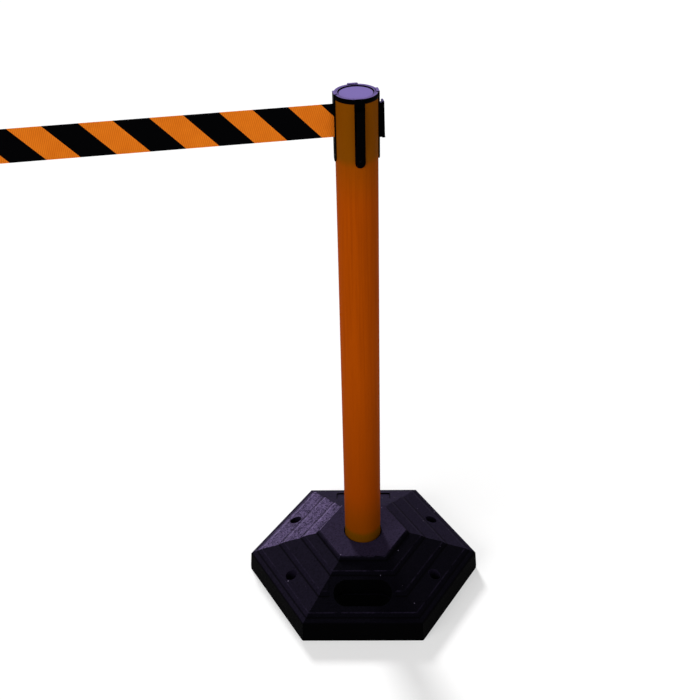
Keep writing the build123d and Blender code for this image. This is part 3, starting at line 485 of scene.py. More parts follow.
    def sheen_speckle(self, graph: Graph, tone: Socket, patches: Socket) -> Socket:
        """How strongly the painted sheen shows, broken up by crumbs, patches and streaks.

        Args:
            graph: The material's graph.
            tone: A random tone for each crumb.
            patches: Large soft patches.

        Returns:
            The strength's socket.
        """
        streak_way = graph.stretched((1.0, 0.15, 0.15), (0.0, 0.0, self.sheen_deg))
        streaks = graph.noise(self.streak_width, 3.0, 0.7, streak_way)
        crumbs = graph.sum("MULTIPLY", graph.fade(tone, 0.15, 0.85, 1.4), graph.fade(patches, 0.20, 0.66))
        return graph.sum("MULTIPLY_ADD", graph.fade(streaks, 0.35, 0.65), 0.40, crumbs)

    def crests(self, graph: Graph, reach: Socket, upward: Socket) -> Socket:
        """Painted highlight lines along the upper edges of the terraces.

        Args:
            graph: The material's graph.
            reach: Socket of the distance square to the nearest flat.
            upward: How far the surface faces up.

        Returns:
            A factor that is highest in the middle of a line.
        """
        blotches = graph.fade(graph.noise(self.blotch_size, 3.0, 0.6), 0.30, 0.65, 0.75)
        lines = graph.sum("MULTIPLY", self.lines_at(graph, reach, self.riser_tops, self.crest_line), blotches)
        return graph.sum("MULTIPLY", lines, graph.fade(upward, 0.3, 0.6))

    def crest_colour(self, graph: Graph, reach: Socket) -> Socket:
        """Colour of the painted edge highlights, brightest on the flat that faces the light.

        Args:
            graph: The material's graph.
            reach: Socket of the distance square to the nearest flat.

        Returns:
            The colour's socket.
        """
        toward = graph.along(graph.place, self.bearing(self.sheen_deg))
        sector = graph.fade(graph.sum("DIVIDE", toward, reach), 0.985, 0.998)
        return graph.blend(sector, self.edge, self.bright_edge)

    def flecks(self, graph: Graph, upward: Socket, patches: Socket) -> Socket:
        """Sparse pale flecks on faces that look up.

        Args:
            graph: The material's graph.
            upward: How far the surface faces up.
            patches: Large soft patches.

        Returns:
            A factor that is 1 on a fleck.
        """
        marks = graph.fade(graph.cells(self.crumb * self.fleck_spacing), 0.065, 0.04)
        marks = graph.sum("MULTIPLY", marks, graph.fade(upward, 0.7, 0.9))
        return graph.sum("MULTIPLY", marks, graph.fade(patches, 0.45, 0.6))

    def panel_outline(self, graph: Graph, reach: Socket) -> Socket:
        """Painted shade along the ends of the sunk panel at the back.

        Args:
            graph: The material's graph.
            reach: Socket of the distance square to the nearest flat.

        Returns:
            A factor that is 1 at the panel's ends.
        """
        aside = graph.sum("ABSOLUTE", graph.x)
        away = graph.sum("ABSOLUTE", graph.sum("SUBTRACT", aside, self.panel_half))
        behind = graph.fade(graph.y, self.panel_from, self.panel_from + self.line)
        within = graph.sum("MULTIPLY", behind, graph.fade(reach, self.panel_to + self.line, self.panel_to))
        return graph.sum("MULTIPLY", within, graph.fade(away, self.line * 1.4, self.line * 0.4, 0.9))

    @staticmethod
    def bearing(bearing_deg: float) -> tuple[float, float, float]:
        """Level direction at a bearing from +X."""
        bearing = math.radians(bearing_deg)
        return math.cos(bearing), math.sin(bearing), 0.0

    def side(self, graph: Graph, bearing_deg: float, upward: Socket) -> Socket:
        """How far the surface faces a bearing, whatever its slope.

        Args:
            graph: The material's graph.
            bearing_deg: The bearing in degrees from +X.
            upward: How far the surface faces up.

        Returns:
            The factor's socket, 1 where the surface faces that bearing.
        """
        level_part = graph.sum("MULTIPLY_ADD", graph.sum("MULTIPLY", upward, -1.0), upward, 1.0)
        slope = graph.sum("SQRT", graph.sum("MAXIMUM", level_part, 0.001))
        return graph.sum("DIVIDE", graph.along(graph.facing, self.bearing(bearing_deg)), slope)

    def inside_holes(self, graph: Graph) -> Socket:
        """Where the stake holes' walls are lightened halfway to the dust tone lit by painted light.

        Args:
            graph: The material's graph.

        Returns:
            A factor that is 1 on the holes' walls.
        """
        aside = graph.sum("SUBTRACT", graph.sum("ABSOLUTE", graph.x), self.hole_x)
        ahead = graph.sum("SUBTRACT", graph.sum("ABSOLUTE", graph.y), self.hole_y)
        return graph.fade(graph.distance(aside, ahead), self.hole_wall, self.hole_wall - self.hole_soft)


@dataclass(frozen=True)
class TubePlastic:
    """Extruded orange plastic: fine streaks up the tube, browner below the head, and painted shade at the
    foot.
    """

    colour: Colour = (0.322, 0.0505, 0.0001)
    streak: Colour = (0.274, 0.0415, 0.0001)
    low: Colour = (0.232, 0.0355, 0.0001)
    # Browner below the head.
    upper_brown: Colour = (0.164, 0.0440, 0.0001)
    # Darker towards the foot.
    lower_dark: Colour = (0.168, 0.0320, 0.0001)
    # Painted shade at the foot, where the post stands in the base.
    foot_shade: Colour = (0.108, 0.0345, 0.0001)
    scuff: Colour = (0.17, 0.028, 0.0002)
    upper_brown_top: float = 0.826
    upper_brown_edge: float = 0.812
    upper_brown_low: float = 0.738
    lower_dark_from: float = 0.205
    foot_top: float = 0.115
    foot_low: float = 0.105
    low_from: float = 0.50
    low_to: float = 0.12
    ragged_by: float = 10.0 * MM
    ragged_patch: float = 30.0 * MM
    streak_width: float = 3.2 * MM
    streak_depth: float = 0.04 * MM
    cloud: float = 70.0 * MM
    rub: float = 9.0 * MM
    grain: float = 0.5 * MM
    grain_depth: float = 0.02 * MM
    roughness: float = 0.42

    def material(self) -> bpy.types.Material:
        """Build the tube's node tree.

        Returns:
            The material.
        """
        graph = Graph("orange_tube")
        height = graph.z
        streaks = graph.noise(self.streak_width, 3.0, 0.6, graph.stretched((1.0, 1.0, 0.02)))
        cloud = graph.noise(self.cloud, 3.0, 0.5)
        lowered = graph.sum("SUBTRACT", height, self.ragged_by / 2)
        ragged = graph.sum("MULTIPLY_ADD", graph.noise(self.ragged_patch, 4.0, 0.6), self.ragged_by, lowered)
        colour = graph.blend(graph.fade(streaks, 0.35, 0.75), self.colour, self.streak)
        colour = graph.blend(graph.fade(cloud, 0.25, 0.85, 0.3), colour, self.streak)
        colour = graph.blend(graph.fade(height, self.low_from, self.low_to), colour, self.low)
        # Browner in a ragged band below the head.
        upper_band = graph.fade(ragged, self.upper_brown_edge, self.upper_brown_top, 0.5)
        upper_band = graph.sum("ADD", upper_band, graph.fade(ragged, self.upper_brown_low, self.upper_brown_top, 0.5))
        colour = graph.blend(upper_band, colour, self.upper_brown)
        # Darker towards the foot.
        colour = graph.blend(graph.fade(height, self.lower_dark_from, self.foot_top), colour, self.lower_dark)
        # Painted shade in a ragged band at the foot.
        colour = graph.blend(graph.fade(ragged, self.foot_top, self.foot_low), colour, self.foot_shade)
        rubs = graph.noise(self.rub, 5.0, 0.7, graph.stretched((1.0, 1.0, 0.16)))
        marks = graph.fade(rubs, 0.66, 0.80, 0.5)
        colour = graph.blend(marks, colour, self.scuff)
        grain = graph.noise(self.grain, 2.0, 0.6)
        streaky = graph.sum("MULTIPLY_ADD", streaks, 0.12, self.roughness)
        graph.surface(
            base_color=colour,
            roughness=graph.sum("MULTIPLY_ADD", marks, 0.25, streaky),
            specular_ior_level=0.004,
            normal=graph.relief(grain, self.grain_depth, graph.relief(streaks, self.streak_depth)),
        )
        return graph.material


@dataclass(frozen=True)
class MouldedPlastic:
    """Fine-grained moulded plastic whose upward faces, beyond a given reach, take a painted sheen of light
    from above.

    Painted shade keeps them dark further from the post's axis than a given radius, as in the corner of the
    lid's recess.
    """

    name: str
    colour: Colour
    # Colour of the painted sheen on upward faces.
    top_sheen: Colour
    roughness: float = 0.5
    specular: float = 0.006
    sheen_way: tuple[float, float, float] = (0.0, 0.0, 1.0)
    sheen_from: float = 0.9168
    grain: float = 0.45 * MM
    grain_depth: float = 0.03 * MM
    cloud: float = 9.0 * MM
    brush: float = 2.2 * MM
    # Painted shade starts this far from the post's axis.
    shade_from: float = 1.0
    shade_edge: float = 0.5 * MM

    def material(self) -> bpy.types.Material:
        """Build the plastic's node tree.

        Returns:
            The material.
        """
        graph = Graph(self.name)
        reach = graph.along(graph.place, self.sheen_way)
        cloud = graph.noise(self.cloud, 4.0, 0.6)
        grain = graph.noise(self.grain, 2.0, 0.6)
        brushed = graph.noise(self.brush, 3.0, 0.6, graph.stretched((0.12, 1.0, 1.0)))
        # Painted sheen of light from above on upward faces beyond the given reach.
        sheen_reach = graph.fade(reach, self.sheen_from - MM, self.sheen_from)
        top_sheen_mask = graph.sum("MULTIPLY", graph.fade(graph.upward, 0.86, 0.98), sheen_reach)
        tint = graph.blend(graph.fade(brushed, 0.3, 0.7, 0.16), self.top_sheen, dimmed(self.top_sheen, 0.8))
        # Painted shade in the corner of the lid's recess, beyond a given radius.
        off_axis = graph.distance(graph.x, graph.y)
        corner_shade = graph.fade(off_axis, self.shade_from, self.shade_from + self.shade_edge)
        tint = graph.blend(corner_shade, tint, self.colour)
        body = graph.blend(graph.fade(cloud, 0.3, 0.8), self.colour, dimmed(self.colour, 0.6))
        graph.surface(
            base_color=graph.blend(top_sheen_mask, body, tint),
            roughness=graph.sum("MULTIPLY_ADD", cloud, 0.14, self.roughness - 0.07),
            specular_ior_level=self.specular,
            normal=graph.relief(grain, self.grain_depth),
        )
        return graph.material


@dataclass(frozen=True)
class WorkedMetal:
    """Turned, plated or blued metal with fine tool marks and a mottled tone."""

    name: str
    colour: Colour
    tarnish: Colour
    roughness: float = 0.32

    def material(self) -> bpy.types.Material:
        """Build the metal's node tree.

        Returns:
            The material.
        """
        graph = Graph(self.name)
        mottle = graph.noise(4 * MM, 4.0, 0.65)
        marks = graph.noise(0.35 * MM, 2.0, 0.5, graph.stretched((1.0, 1.0, 0.15)))
        graph.surface(
            base_color=graph.blend(graph.fade(mottle, 0.35, 0.75, 0.7), self.colour, self.tarnish),
            metallic=1.0,
            roughness=graph.sum("MULTIPLY_ADD", mottle, 0.25, self.roughness - 0.1),
            normal=graph.relief(marks, 0.02 * MM),
        )
        return graph.material


@dataclass(frozen=True)
class StripedWebbing:
    """Woven belt with slanting stripes, orange on black, a fine twill and a firmer edge.

    The pattern is worked out from the object's coordinates along the belt's direction at rest. So on the
    ribbon it is right only while the post isn't turned.
    """

    orange: Colour = (0.770, 0.1980, 0.0120)
    orange_low: Colour = (0.530, 0.1020, 0.0045)
    black: Colour = (0.0010, 0.0010, 0.0013)
    period: float = 98.0 * MM
    orange_share: float = 0.483
    orange_start: float = 26.8 * MM
    slant: float = 0.94
    twill: float = 2.9 * MM
    lean: float = 0.33
    yarn: float = 0.7 * MM
    edge: float = 1.6 * MM
    soft: float = 0.35 * MM
    blotch_size: float = 26.0 * MM
    thread_depth: float = 0.12 * MM

    def material(self, exit_way: Vector, low: float, high: float) -> bpy.types.Material:
        """Build the webbing's node tree.

        Args:
            exit_way: Direction in which the belt leaves the head.
            low: Height of the belt's lower edge.
            high: Height of its upper edge.

        Returns:
            The material.
        """
        graph = Graph("striped_webbing")
        distance = graph.along(graph.place, exit_way)
        height = graph.z
        middle = (low + high) / 2
        slanting = (exit_way.x, exit_way.y, -self.slant)
        across = graph.along(graph.place, slanting)
        start = self.orange_start - self.slant * middle
        turns = graph.sum("DIVIDE", graph.sum("SUBTRACT", across, start), self.period)
        phase = graph.sum("FRACT", turns)
        soft = self.soft / self.period
        begins = graph.fade(phase, 0.0, soft)
        ends = graph.fade(phase, self.orange_share + soft, self.orange_share)
        stripe = graph.sum("MULTIPLY", begins, ends)
        leaning = graph.sum("MULTIPLY_ADD", height, self.lean, distance)
        rib = graph.sum("SINE", graph.sum("MULTIPLY", leaning, math.tau / self.twill))
        weft = graph.sum("SINE", graph.sum("MULTIPLY", height, math.tau / self.yarn))
        warp = graph.sum("SINE", graph.sum("MULTIPLY", distance, math.tau / self.yarn))
        weave = graph.sum("MULTIPLY", weft, warp)
        blotches = graph.noise(self.blotch_size, 4.0, 0.6)
        tone = graph.sum("MULTIPLY_ADD", weave, 0.10, graph.fade(blotches, 0.2, 0.8, 0.3))
        tone = graph.sum("MULTIPLY_ADD", rib, 0.30, tone)
        orange = graph.blend(graph.sum("ADD", tone, 0.28), self.orange, self.orange_low)
        colour = graph.blend(stripe, self.black, orange)
        lower, upper = graph.fade(height, low + self.edge, low), graph.fade(height, high - self.edge, high)
        selvedge = graph.sum("MAXIMUM", lower, upper)
        thread = graph.sum("MULTIPLY_ADD", weave, 0.4, graph.sum("MULTIPLY", selvedge, 0.5))
        thread = graph.sum("MULTIPLY_ADD", rib, 0.3, thread)
        graph.surface(
            base_color=colour,
            roughness=0.82,
            specular_ior_level=0.004,
            normal=graph.relief(thread, self.thread_depth),
        )
        return graph.material


@dataclass(frozen=True)
class BrakeLining:
    """Pressed friction lining, brown and fibrous."""

    colour: Colour = (0.16, 0.08, 0.05)
    fibre: Colour = (0.27, 0.17, 0.11)

    def material(self) -> bpy.types.Material:
        """Build the lining's node tree.

        Returns:
            The material.
        """
        graph = Graph("brake_lining")
        fibres = graph.noise(0.6 * MM, 5.0, 0.7, graph.stretched((1.0, 0.3, 1.0), (0.0, 0.0, 35.0)))
        graph.surface(
            base_color=graph.blend(graph.fade(fibres, 0.4, 0.7), self.colour, self.fibre),
            roughness=0.9,
            normal=graph.relief(fibres, 0.1 * MM),
        )
        return graph.material


@dataclass(frozen=True)
class StageWhite:
    """Matt white floor that keeps the object's shadow and reads as plain white in the view."""

    colour: Colour = (0.80, 0.80, 0.80)
    glow: float = 1.30
    share: float = 0.36

    def material(self) -> bpy.types.Material:
        """Build the floor's node tree.

        Returns:
            The material.
        """
        material = bpy.data.materials.new("stage_white")
        material.use_nodes = True
        nodes, links = material.node_tree.nodes, material.node_tree.links
        nodes.remove(nodes["Principled BSDF"])
        matt = nodes.new("ShaderNodeBsdfDiffuse")
        matt.inputs["Color"].default_value = (*self.colour, 1.0)
        glow = nodes.new("ShaderNodeEmission")
        glow.inputs["Strength"].default_value = self.glow
        seen = nodes.new("ShaderNodeMath")
        seen.operation = "MULTIPLY"
        seen.inputs[1].default_value = self.share
        links.new(view_rays(nodes, links), seen.inputs[0])
        mixed = nodes.new("ShaderNodeMixShader")
        links.new(seen.outputs[0], mixed.inputs["Fac"])
        links.new(matt.outputs[0], mixed.inputs[1])
        links.new(glow.outputs[0], mixed.inputs[2])
        links.new(mixed.outputs[0], nodes["Material Output"].inputs["Surface"])
        return material


def view_rays(nodes: bpy.types.Nodes, links: bpy.types.NodeLinks) -> Socket:
    """A factor that is 1 for what the camera sees, straight, mirrored or through glass.

    Args:
        nodes: Nodes of the tree to add to.
        links: Links of that tree.

    Returns:
        The factor's socket.
    """
    path = nodes.new("ShaderNodeLightPath")
    total = path.outputs["Is Camera Ray"]
    for name in ("Is Glossy Ray", "Is Transmission Ray"):
        either = nodes.new("ShaderNodeMath")
        either.operation = "MAXIMUM"
        links.new(total, either.inputs[0])
        links.new(path.outputs[name], either.inputs[1])
        total = either.outputs[0]
    return total


BLACK: Colour = (0.0006, 0.0005, 0.0008)
# Lavender of the painted sheen on the tops of black plastic.
SHEEN_LAVENDER: Colour = (0.185, 0.135, 0.385)
ACETAL: Colour = (0.74, 0.74, 0.71)


class Paintbox:
    """One material for each slot, made once and shared."""

    def __init__(self, belt_way: Vector, belt_low: float, belt_high: float) -> None:
        """Make every material.

        Args:
            belt_way: Direction in which the belt leaves the head.
            belt_low: Height of the belt's lower edge.
            belt_high: Height of its upper edge.
        """
        steel_tarnish = (0.42, 0.43, 0.45)
        # The black mouldings' upward faces take a painted lavender sheen.
        black = MouldedPlastic("black_moulding", BLACK, (0.150, 0.108, 0.300))
        # Only the right rail, beyond x = 0.02, takes the painted sheen; the front rail's top stays dark, as
        # painted shadow from the head.
        rail = MouldedPlastic(
            "rail_moulding", BLACK, (0.110, 0.080, 0.220), 0.42, sheen_way=(1.0, 0.0, 0.0), sheen_from=0.02
        )
        latch = MouldedPlastic("latch_plastic", (0.012, 0.011, 0.014), SHEEN_LAVENDER, 0.25, 0.4)
        oxide = WorkedMetal("black_oxide", (0.0035, 0.0034, 0.0040), (0.0015, 0.0015, 0.0016), 0.45)
        blued = WorkedMetal("blued_spring", (0.22, 0.24, 0.32), (0.30, 0.25, 0.20), 0.28)
        brass = WorkedMetal("turned_brass", (0.78, 0.56, 0.23), (0.55, 0.36, 0.14), 0.3)
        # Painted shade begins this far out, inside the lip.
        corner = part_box("lid_disc")[1][0] - Head.lip_width - Head.shade_width
        disc = MouldedPlastic("lid_disc_plastic", BLACK, SHEEN_LAVENDER, 0.38, sheen_from=0.91, shade_from=corner)
        self.materials = {
            Slot.RUBBER: GranularRubber().material(),
            Slot.ORANGE_PLASTIC: TubePlastic().material(),
            Slot.BLACK_PLASTIC: black.material(),
            Slot.RAIL_PLASTIC: rail.material(),
            Slot.LID_PLASTIC: disc.material(),
            Slot.LATCH_PLASTIC: latch.material(),
            Slot.WHITE_PLASTIC: MouldedPlastic("acetal_white", ACETAL, ACETAL, 0.35, 0.4).material(),
            Slot.BELT_FABRIC: StripedWebbing().material(belt_way, belt_low, belt_high),
            Slot.ZINC_STEEL: WorkedMetal("zinc_plate", (0.62, 0.63, 0.65), steel_tarnish).material(),
            Slot.DARK_STEEL: oxide.material(),
            Slot.SPRING_STEEL: blued.material(),
            Slot.BRASS: brass.material(),
            Slot.BRAKE_LINING: BrakeLining().material(),
        }
        self.slots = {part["node"]: Slot(part["material_slot"]) for part in frame["record"]["subparts"]}

    def dress_node(self, node: str) -> None:
        """Give a CAD node the finish of its slot.

        Args:
            node: Name of the node.
        """
        for holder in frame["nodes"][node].material_slots:
            holder.material = self.materials[self.slots[node]]

    def dress_piece(self, piece: Piece, slot: Slot) -> None:
        """Give a new piece a slot's finish.

        Args:
            piece: The piece.
            slot: Whose finish it takes.
        """
        piece.data.materials.clear()
        piece.data.materials.append(self.materials[slot])


# ------------------------------------------------------------------------------------ modelling
class Bench:
    """Modelling by hand: primitives shaped with edit-mode operators."""

    @staticmethod
    def clear() -> None:
        """Deselect every object."""
        if bpy.context.object and bpy.context.object.mode != "OBJECT":
            bpy.ops.object.mode_set(mode="OBJECT")
        bpy.ops.object.select_all(action="DESELECT")

    @staticmethod
    def take(piece: Piece) -> None:
        """Make one object the only one selected, and active.

        Args:
            piece: The object.
        """
        Bench.clear()
        piece.select_set(True)
        bpy.context.view_layer.objects.active = piece

    @staticmethod
    def block(name: str, centre: Vector, size: Iterable[float], turn: float) -> Piece:
        """Add a box, turned about Z, with its place in its mesh.

        Args:
            name: Name of the object and its mesh.
            centre: Middle of the box.
            size: Its length, depth and height.
            turn: Angle about Z in radians.

        Returns:
            The new object.
        """
        Bench.clear()
        bpy.ops.mesh.primitive_cube_add(size=1.0, location=centre, rotation=(0.0, 0.0, turn))
        piece = bpy.context.object
        piece.scale = tuple(size)
        bpy.ops.object.transform_apply(location=True, rotation=True, scale=True)
        piece.name = piece.data.name = name
        return piece

    @staticmethod
    def ring(name: str, centre: Vector, outer: float, inner: float, height: float, sides: int) -> Piece:
        """Add a flat ring about Z, with its place in its mesh.

        Args:
            name: Name of the object and its mesh.
            centre: Middle of the ring.
            outer: Its outer radius.
            inner: Its inner radius.
            height: Its height.
            sides: Number of its sides.

        Returns:
            The new object.
        """
        Bench.clear()
        bpy.ops.mesh.primitive_cylinder_add(vertices=sides, radius=outer, depth=height, location=centre)
        piece = bpy.context.object
        bpy.ops.object.transform_apply(location=True, rotation=False, scale=False)
        piece.name = piece.data.name = name
        Bench.pick_faces(piece, lambda normal: abs(normal.z) > 0.5)
        bpy.ops.mesh.inset(thickness=outer - inner, use_boundary=True)
        bpy.ops.mesh.bridge_edge_loops()
        bpy.ops.mesh.select_all(action="SELECT")
        bpy.ops.mesh.normals_make_consistent(inside=False)
        bpy.ops.object.mode_set(mode="OBJECT")
        return piece

    @staticmethod
    def follows(first: Vector, second: Vector) -> bool:
        """Whether an edge runs round the Z axis and not across it.

        Args:
            first: One end of the edge.
            second: Its other end.

        Returns:
            True if both ends are as far from the axis.
        """
        return abs(first.xy.length - second.xy.length) < HAIR

    @staticmethod
    def pick_faces(piece: Piece, test: Callable[[Vector], bool]) -> None:
        """Enter edit mode with only the faces selected whose normals pass a test.

        Args:
            piece: The object.
            test: Given the normal, says whether the face is wanted.
        """
        Bench.take(piece)
        bpy.ops.object.mode_set(mode="EDIT")
        bpy.ops.mesh.select_mode(type="FACE")
        bpy.ops.mesh.select_all(action="DESELECT")
        bpy.ops.object.mode_set(mode="OBJECT")
        for face in piece.data.polygons:
            face.select = test(face.normal)
        bpy.ops.object.mode_set(mode="EDIT")

    @staticmethod
    def pick_edges(piece: Piece, test: Callable[[Vector, Vector], bool]) -> None:
        """Enter edit mode with only the edges selected that pass a test.

        Args:
            piece: The object.
            test: Given the edge's two ends, says whether it is wanted.
        """
        Bench.take(piece)
        bpy.ops.object.mode_set(mode="EDIT")
        bpy.ops.mesh.select_mode(type="EDGE")
        bpy.ops.mesh.select_all(action="DESELECT")
        bpy.ops.object.mode_set(mode="OBJECT")
        points = piece.data.vertices
        for edge in piece.data.edges:
            first, second = (points[index].co for index in edge.vertices)
            edge.select = test(first, second)
        bpy.ops.object.mode_set(mode="EDIT")

    @staticmethod
    def round_edges(piece: Piece, test: Callable[[Vector, Vector], bool], radius: float, steps: int) -> None:
        """Round the edges that pass a test.

        Args:
            piece: The object.
            test: Given the edge's two ends, says whether it is wanted.
            radius: Radius of the rounding.
            steps: Segments of the rounding.
        """
        Bench.pick_edges(piece, test)
        bpy.ops.mesh.bevel(offset=radius, segments=steps, profile=0.5)
        bpy.ops.object.mode_set(mode="OBJECT")

    @staticmethod
    def smooth(piece: Piece, angle_deg: float = 40.0) -> None:
        """Shade smooth across shallow edges.

        Args:
            piece: The object.
            angle_deg: Edges up to this angle are smoothed.
        """
        Bench.take(piece)
        bpy.ops.object.shade_smooth_by_angle(angle=math.radians(angle_deg))

    @staticmethod
    def join(pieces: list[Piece], name: str) -> Piece:
        """Join several objects into the first.

        Args:
            pieces: The objects.
            name: Name of the joined object.

        Returns:
            The joined object.
        """
        Bench.take(pieces[0])
        for piece in pieces:
            piece.select_set(True)
        bpy.ops.object.join()
        pieces[0].name = pieces[0].data.name = name
        return pieces[0]


# ------------------------------------------------------------------------------------ sub-assemblies
@dataclass
class SubAssembly:
    """A group of CAD nodes that belong together and are dressed together."""

    title: str = ""
    nodes: tuple[str, ...] = ()

    def build(self) -> None:
        """Model the new pieces, where there are any."""

    def dress(self, paint: Paintbox) -> None:
        """Give every node its finish.

        Args:
            paint: The shared materials.
        """
        for node in self.nodes:
            paint.dress_node(node)
        LOG.info("%s: dressed %d nodes", self.title, len(self.nodes))


@dataclass
class PulledBelt(SubAssembly):
    """The belt between the head and its end clip, a flat ribbon with rounded edges."""

    title: str = "pulled belt"
    nodes: tuple[str, ...] = ("belt_roll", "belt_lead")
    turn_deg: float = BELT_TURN_DEG
    exit_reach: float = 31.75 * MM
    end_reach: float = 585.0 * MM
    thickness: float = 0.6 * MM
    edge_round: float = 0.22 * MM
    clip_nodes: tuple[str, ...] = CLIP_NODES

    @property
    def way(self) -> Vector:
        """Direction in which the belt leaves the head."""
        turn = math.radians(self.turn_deg)
        return Vector((-math.cos(turn), -math.sin(turn), 0.0))

    @property
    def heights(self) -> tuple[float, float]:
        """Heights of the belt's lower and upper edges."""
        low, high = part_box("belt_webbing")
        return low[2], high[2]

    def at(self, reach: float) -> Vector:
        """Point on the belt's middle line.

        Args:
            reach: Distance from the post's axis.

        Returns:
            The point.
        """
        low, high = self.heights
        return self.way * reach + Vector((0.0, 0.0, (low + high) / 2))

    def lengthwise(self, first: Vector, second: Vector) -> bool:
        """Whether an edge runs along the belt.

        Args:
            first: One end of the edge.
            second: Its other end.

        Returns:
            True if it does.
        """
        return abs((first - second).normalized().dot(self.way)) > 0.9

    def build(self) -> None:
        low, high = self.heights
        start, end = self.at(self.exit_reach), self.at(self.end_reach)
        length = self.end_reach - self.exit_reach
        turn = math.atan2(self.way.y, self.way.x)
        ribbon = Bench.block("belt_ribbon", (start + end) / 2, (length, self.thickness, high - low), turn)
        Bench.round_edges(ribbon, self.lengthwise, self.edge_round, 2)
        Bench.smooth(ribbon)
        self.ribbon = ribbon
        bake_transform(ribbon)
        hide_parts("belt_webbing")

    def dress(self, paint: Paintbox) -> None:
        """Give the ribbon and the belt inside the head the webbing's finish.

        Args:
            paint: The shared materials.
        """
        super().dress(paint)
        paint.dress_piece(self.ribbon, Slot.BELT_FABRIC)


@dataclass
class EndClip(SubAssembly):
    """Clip on the belt's end, with moulded ribs for the fingers."""

    title: str = "end clip"
    nodes: tuple[str, ...] = CLIP_NODES
    turn_deg: float = BELT_TURN_DEG
    half_width: float = 9.5 * MM
    rib_reach: float = 588.5 * MM
    rib_length: float = 13.0 * MM
    rib_height: float = 1.5 * MM
    rib_proud: float = 0.6 * MM
    rib_round: float = 0.4 * MM
    rib_pitch: float = 3.6 * MM
    rib_count: int = 8

    def build(self) -> None:
        """Model one rounded rib and copy it up both sides of the clip."""
        turn = math.radians(180.0 + self.turn_deg)
        way = Vector((math.cos(turn), math.sin(turn), 0.0))
        across = Vector((-way.y, way.x, 0.0))
        low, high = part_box("clip_half_a")
        middle = (low[2] + high[2]) / 2
        first = middle - self.rib_pitch * (self.rib_count - 1) / 2
        depth = 2 * self.rib_proud
        ribs = []
        for side in (-1, 1):
            for index in range(self.rib_count):
                centre = way * self.rib_reach + across * (side * self.half_width)
                centre.z = first + index * self.rib_pitch
                rib = Bench.block("clip_rib", centre, (self.rib_length, depth, self.rib_height), turn)
                Bench.round_edges(rib, lambda a, b: True, self.rib_round, 2)
                ribs.append(rib)
        self.ribs = Bench.join(ribs, "clip_finger_ribs")
        Bench.smooth(self.ribs)
        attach(self.ribs, Body.BELT_END.value)

    def dress(self, paint: Paintbox) -> None:
        """Give the clip and its ribs their finishes.

        Args:
            paint: The shared materials.
        """
        super().dress(paint)
        paint.dress_piece(self.ribs, Slot.BLACK_PLASTIC)


@dataclass
class Head(SubAssembly):
    """The post's head: collar, lid, channels and rails, with a lip snapped into the lid's recess."""

    title: str = "head"
    lip_width: float = 2.0 * MM
    lip_gap: float = 0.05 * MM
    lip_sunk: float = 0.05 * MM
    lip_round: float = 0.3 * MM
    # Width of the painted shade inside the lip.
    shade_width: float = 1.9 * MM
    sides: int = 96

    def build(self) -> None:
        """Model the lip as a ring that stands on the edge of the lid's disc."""
        disc_low, disc_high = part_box("lid_disc")
        _, lid_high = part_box("lid")
        radius = (disc_high[0] - disc_low[0]) / 2
        foot, top = disc_high[2] + self.lip_gap, lid_high[2] - self.lip_sunk
        middle = ((disc_low[0] + disc_high[0]) / 2, (disc_low[1] + disc_high[1]) / 2)
        centre = Vector((*middle, (foot + top) / 2))
        self.lip = Bench.ring("lid_lip", centre, radius, radius - self.lip_width, top - foot, self.sides)

        def on_brim(first: Vector, second: Vector) -> bool:
            """Whether an edge runs round the lip's top."""
            return min(first.z, second.z) > top - HAIR and Bench.follows(first, second)

        Bench.round_edges(self.lip, on_brim, self.lip_round, 3)
        Bench.smooth(self.lip)
        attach(self.lip, Body.POST.value)

    def dress(self, paint: Paintbox) -> None:
        """Give the head and its lip their finishes.

        Args:
            paint: The shared materials.
        """
        super().dress(paint)
        paint.dress_piece(self.lip, Slot.BLACK_PLASTIC)


BASE_NODES = ("base_block", "socket_sleeve", "backing_plate")
POST_NODES = ("post_tube", "foot_plug", "plug_rivets", "clamp_bolt", "clamp_nut", "clamp_washer")
CHANNEL_NODES = ("exit_channel", "channel_front", "channel_right", "channel_back", "channel_screws")
RAIL_NODES = ("rail_front", "rail_right", "rail_back")
HEAD_NODES = ("collar", "lid", "lid_disc", "lid_screws", *CHANNEL_NODES, *RAIL_NODES)
SPOOL_NODES = ("spool_drum", "spool_bushes", "spindle", "spindle_clips", "guide_pins")
SPRING_NODES = ("spring_cup", "spring_cover", "power_spring")
BRAKE_NODES = ("brake_pins", "brake_shoe_a", "brake_shoe_b", "brake_ring")
REEL_NODES = ("cassette", "cassette_cover", *SPOOL_NODES, *SPRING_NODES, *BRAKE_NODES)


# ------------------------------------------------------------------------------------ studio
@dataclass(frozen=True)
class Lamp:
    """A far, wide lamp that lights everything evenly from one side."""

    name: str
    bearing_deg: float
    elevation_deg: float
    width_deg: float
    level: float

    def hang(self) -> None:
        """Add the lamp, whose level is a share of a white surface's plain brightness."""
        bearing, rise = math.radians(self.bearing_deg), math.radians(self.elevation_deg)
        flat = math.cos(rise)
        away = Vector((math.sin(bearing) * flat, -math.cos(bearing) * flat, math.sin(rise)))
        data = bpy.data.lights.new(self.name, "SUN")
        data.angle = math.radians(self.width_deg)
        data.energy = self.level * math.pi
        lamp = bpy.data.objects.new(self.name, data)
        lamp.location = away * LAMP_REACH
        lamp.rotation_mode = "QUATERNION"
        lamp.rotation_quaternion = away.to_track_quat("Z", "Y")
        bpy.context.scene.collection.objects.link(lamp)


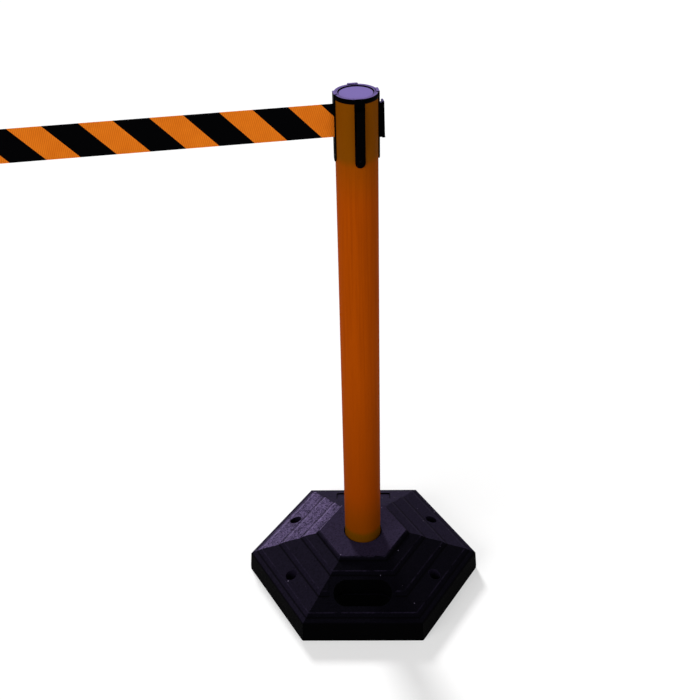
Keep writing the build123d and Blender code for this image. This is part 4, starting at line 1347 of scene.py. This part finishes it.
@dataclass
class Studio:
    """Camera, floor, lamps and the light all round."""

    eye: tuple[float, float, float] = (0.0252, -1.6238, 1.533)
    heading_deg: float = -1.46
    pitch_deg: float = -32.99
    roll_deg: float = -1.22
    lens: float = 61.25
    floor_size: float = 40.0
    floor_drop: float = 0.2 * MM
    around: float = 0.20
    lamps: tuple[Lamp, ...] = (
        Lamp("key_lamp", -42.0, 25.0, 40.0, 0.64),
        Lamp("fill_lamp", 50.0, 12.0, 50.0, 0.21),
        Lamp("rear_lamp", -161.0, 34.0, 12.0, 1.10),
    )

    def set_camera(self) -> None:
        """Place the camera."""
        angles = (self.heading_deg, self.pitch_deg, self.roll_deg)
        heading, pitch, roll = (math.radians(angle) for angle in angles)
        flat = math.cos(pitch)
        look = Vector((math.sin(heading) * flat, math.cos(heading) * flat, math.sin(pitch)))
        data = bpy.data.cameras.new("camera")
        data.lens = self.lens
        camera = bpy.data.objects.new("camera", data)
        camera.location = self.eye
        camera.rotation_mode = "QUATERNION"
        camera.rotation_quaternion = look.to_track_quat("-Z", "Y") @ Quaternion((0.0, 0.0, 1.0), roll)
        bpy.context.scene.collection.objects.link(camera)
        bpy.context.scene.camera = camera

    def lay_floor(self) -> None:
        """Add the floor just under the base."""
        Bench.clear()
        bpy.ops.mesh.primitive_plane_add(size=self.floor_size, location=(0.0, 0.0, -self.floor_drop))
        floor = bpy.context.object
        floor.name = floor.data.name = "studio_floor"
        floor.data.materials.append(StageWhite().material())

    def light_around(self) -> None:
        """Add even light all round, behind a backdrop that reads as white."""
        world = bpy.data.worlds.new("studio_world")
        bpy.context.scene.world = world
        world.use_nodes = True
        nodes, links = world.node_tree.nodes, world.node_tree.links
        soft = nodes["Background"]
        soft.inputs["Color"].default_value = (1.0, 1.0, 1.0, 1.0)
        soft.inputs["Strength"].default_value = self.around
        white = nodes.new("ShaderNodeBackground")
        white.inputs["Color"].default_value = (1.0, 1.0, 1.0, 1.0)
        mixed = nodes.new("ShaderNodeMixShader")
        links.new(view_rays(nodes, links), mixed.inputs["Fac"])
        links.new(soft.outputs[0], mixed.inputs[1])
        links.new(white.outputs[0], mixed.inputs[2])
        links.new(mixed.outputs[0], nodes["World Output"].inputs["Surface"])

    def light(self) -> None:
        """Hang the lamps and set a plain view."""
        for lamp in self.lamps:
            lamp.hang()
        self.light_around()
        bpy.context.scene.view_settings.view_transform = "Standard"


def main() -> None:
    """Build the studio and every sub-assembly, and report each."""
    logging.basicConfig(level=logging.INFO, format="%(message)s")
    studio = Studio()
    studio.set_camera()
    belt = PulledBelt()
    assemblies: list[SubAssembly] = [
        belt,
        EndClip(),
        SubAssembly("base", BASE_NODES),
        SubAssembly("post and foot", POST_NODES),
        Head(nodes=HEAD_NODES),
        SubAssembly("reel", REEL_NODES),
    ]
    for assembly in assemblies:
        assembly.build()
    paint = Paintbox(belt.way, *belt.heights)
    for assembly in assemblies:
        assembly.dress(paint)
    studio.lay_floor()
    studio.light()


if __name__ == "__main__":
    main()
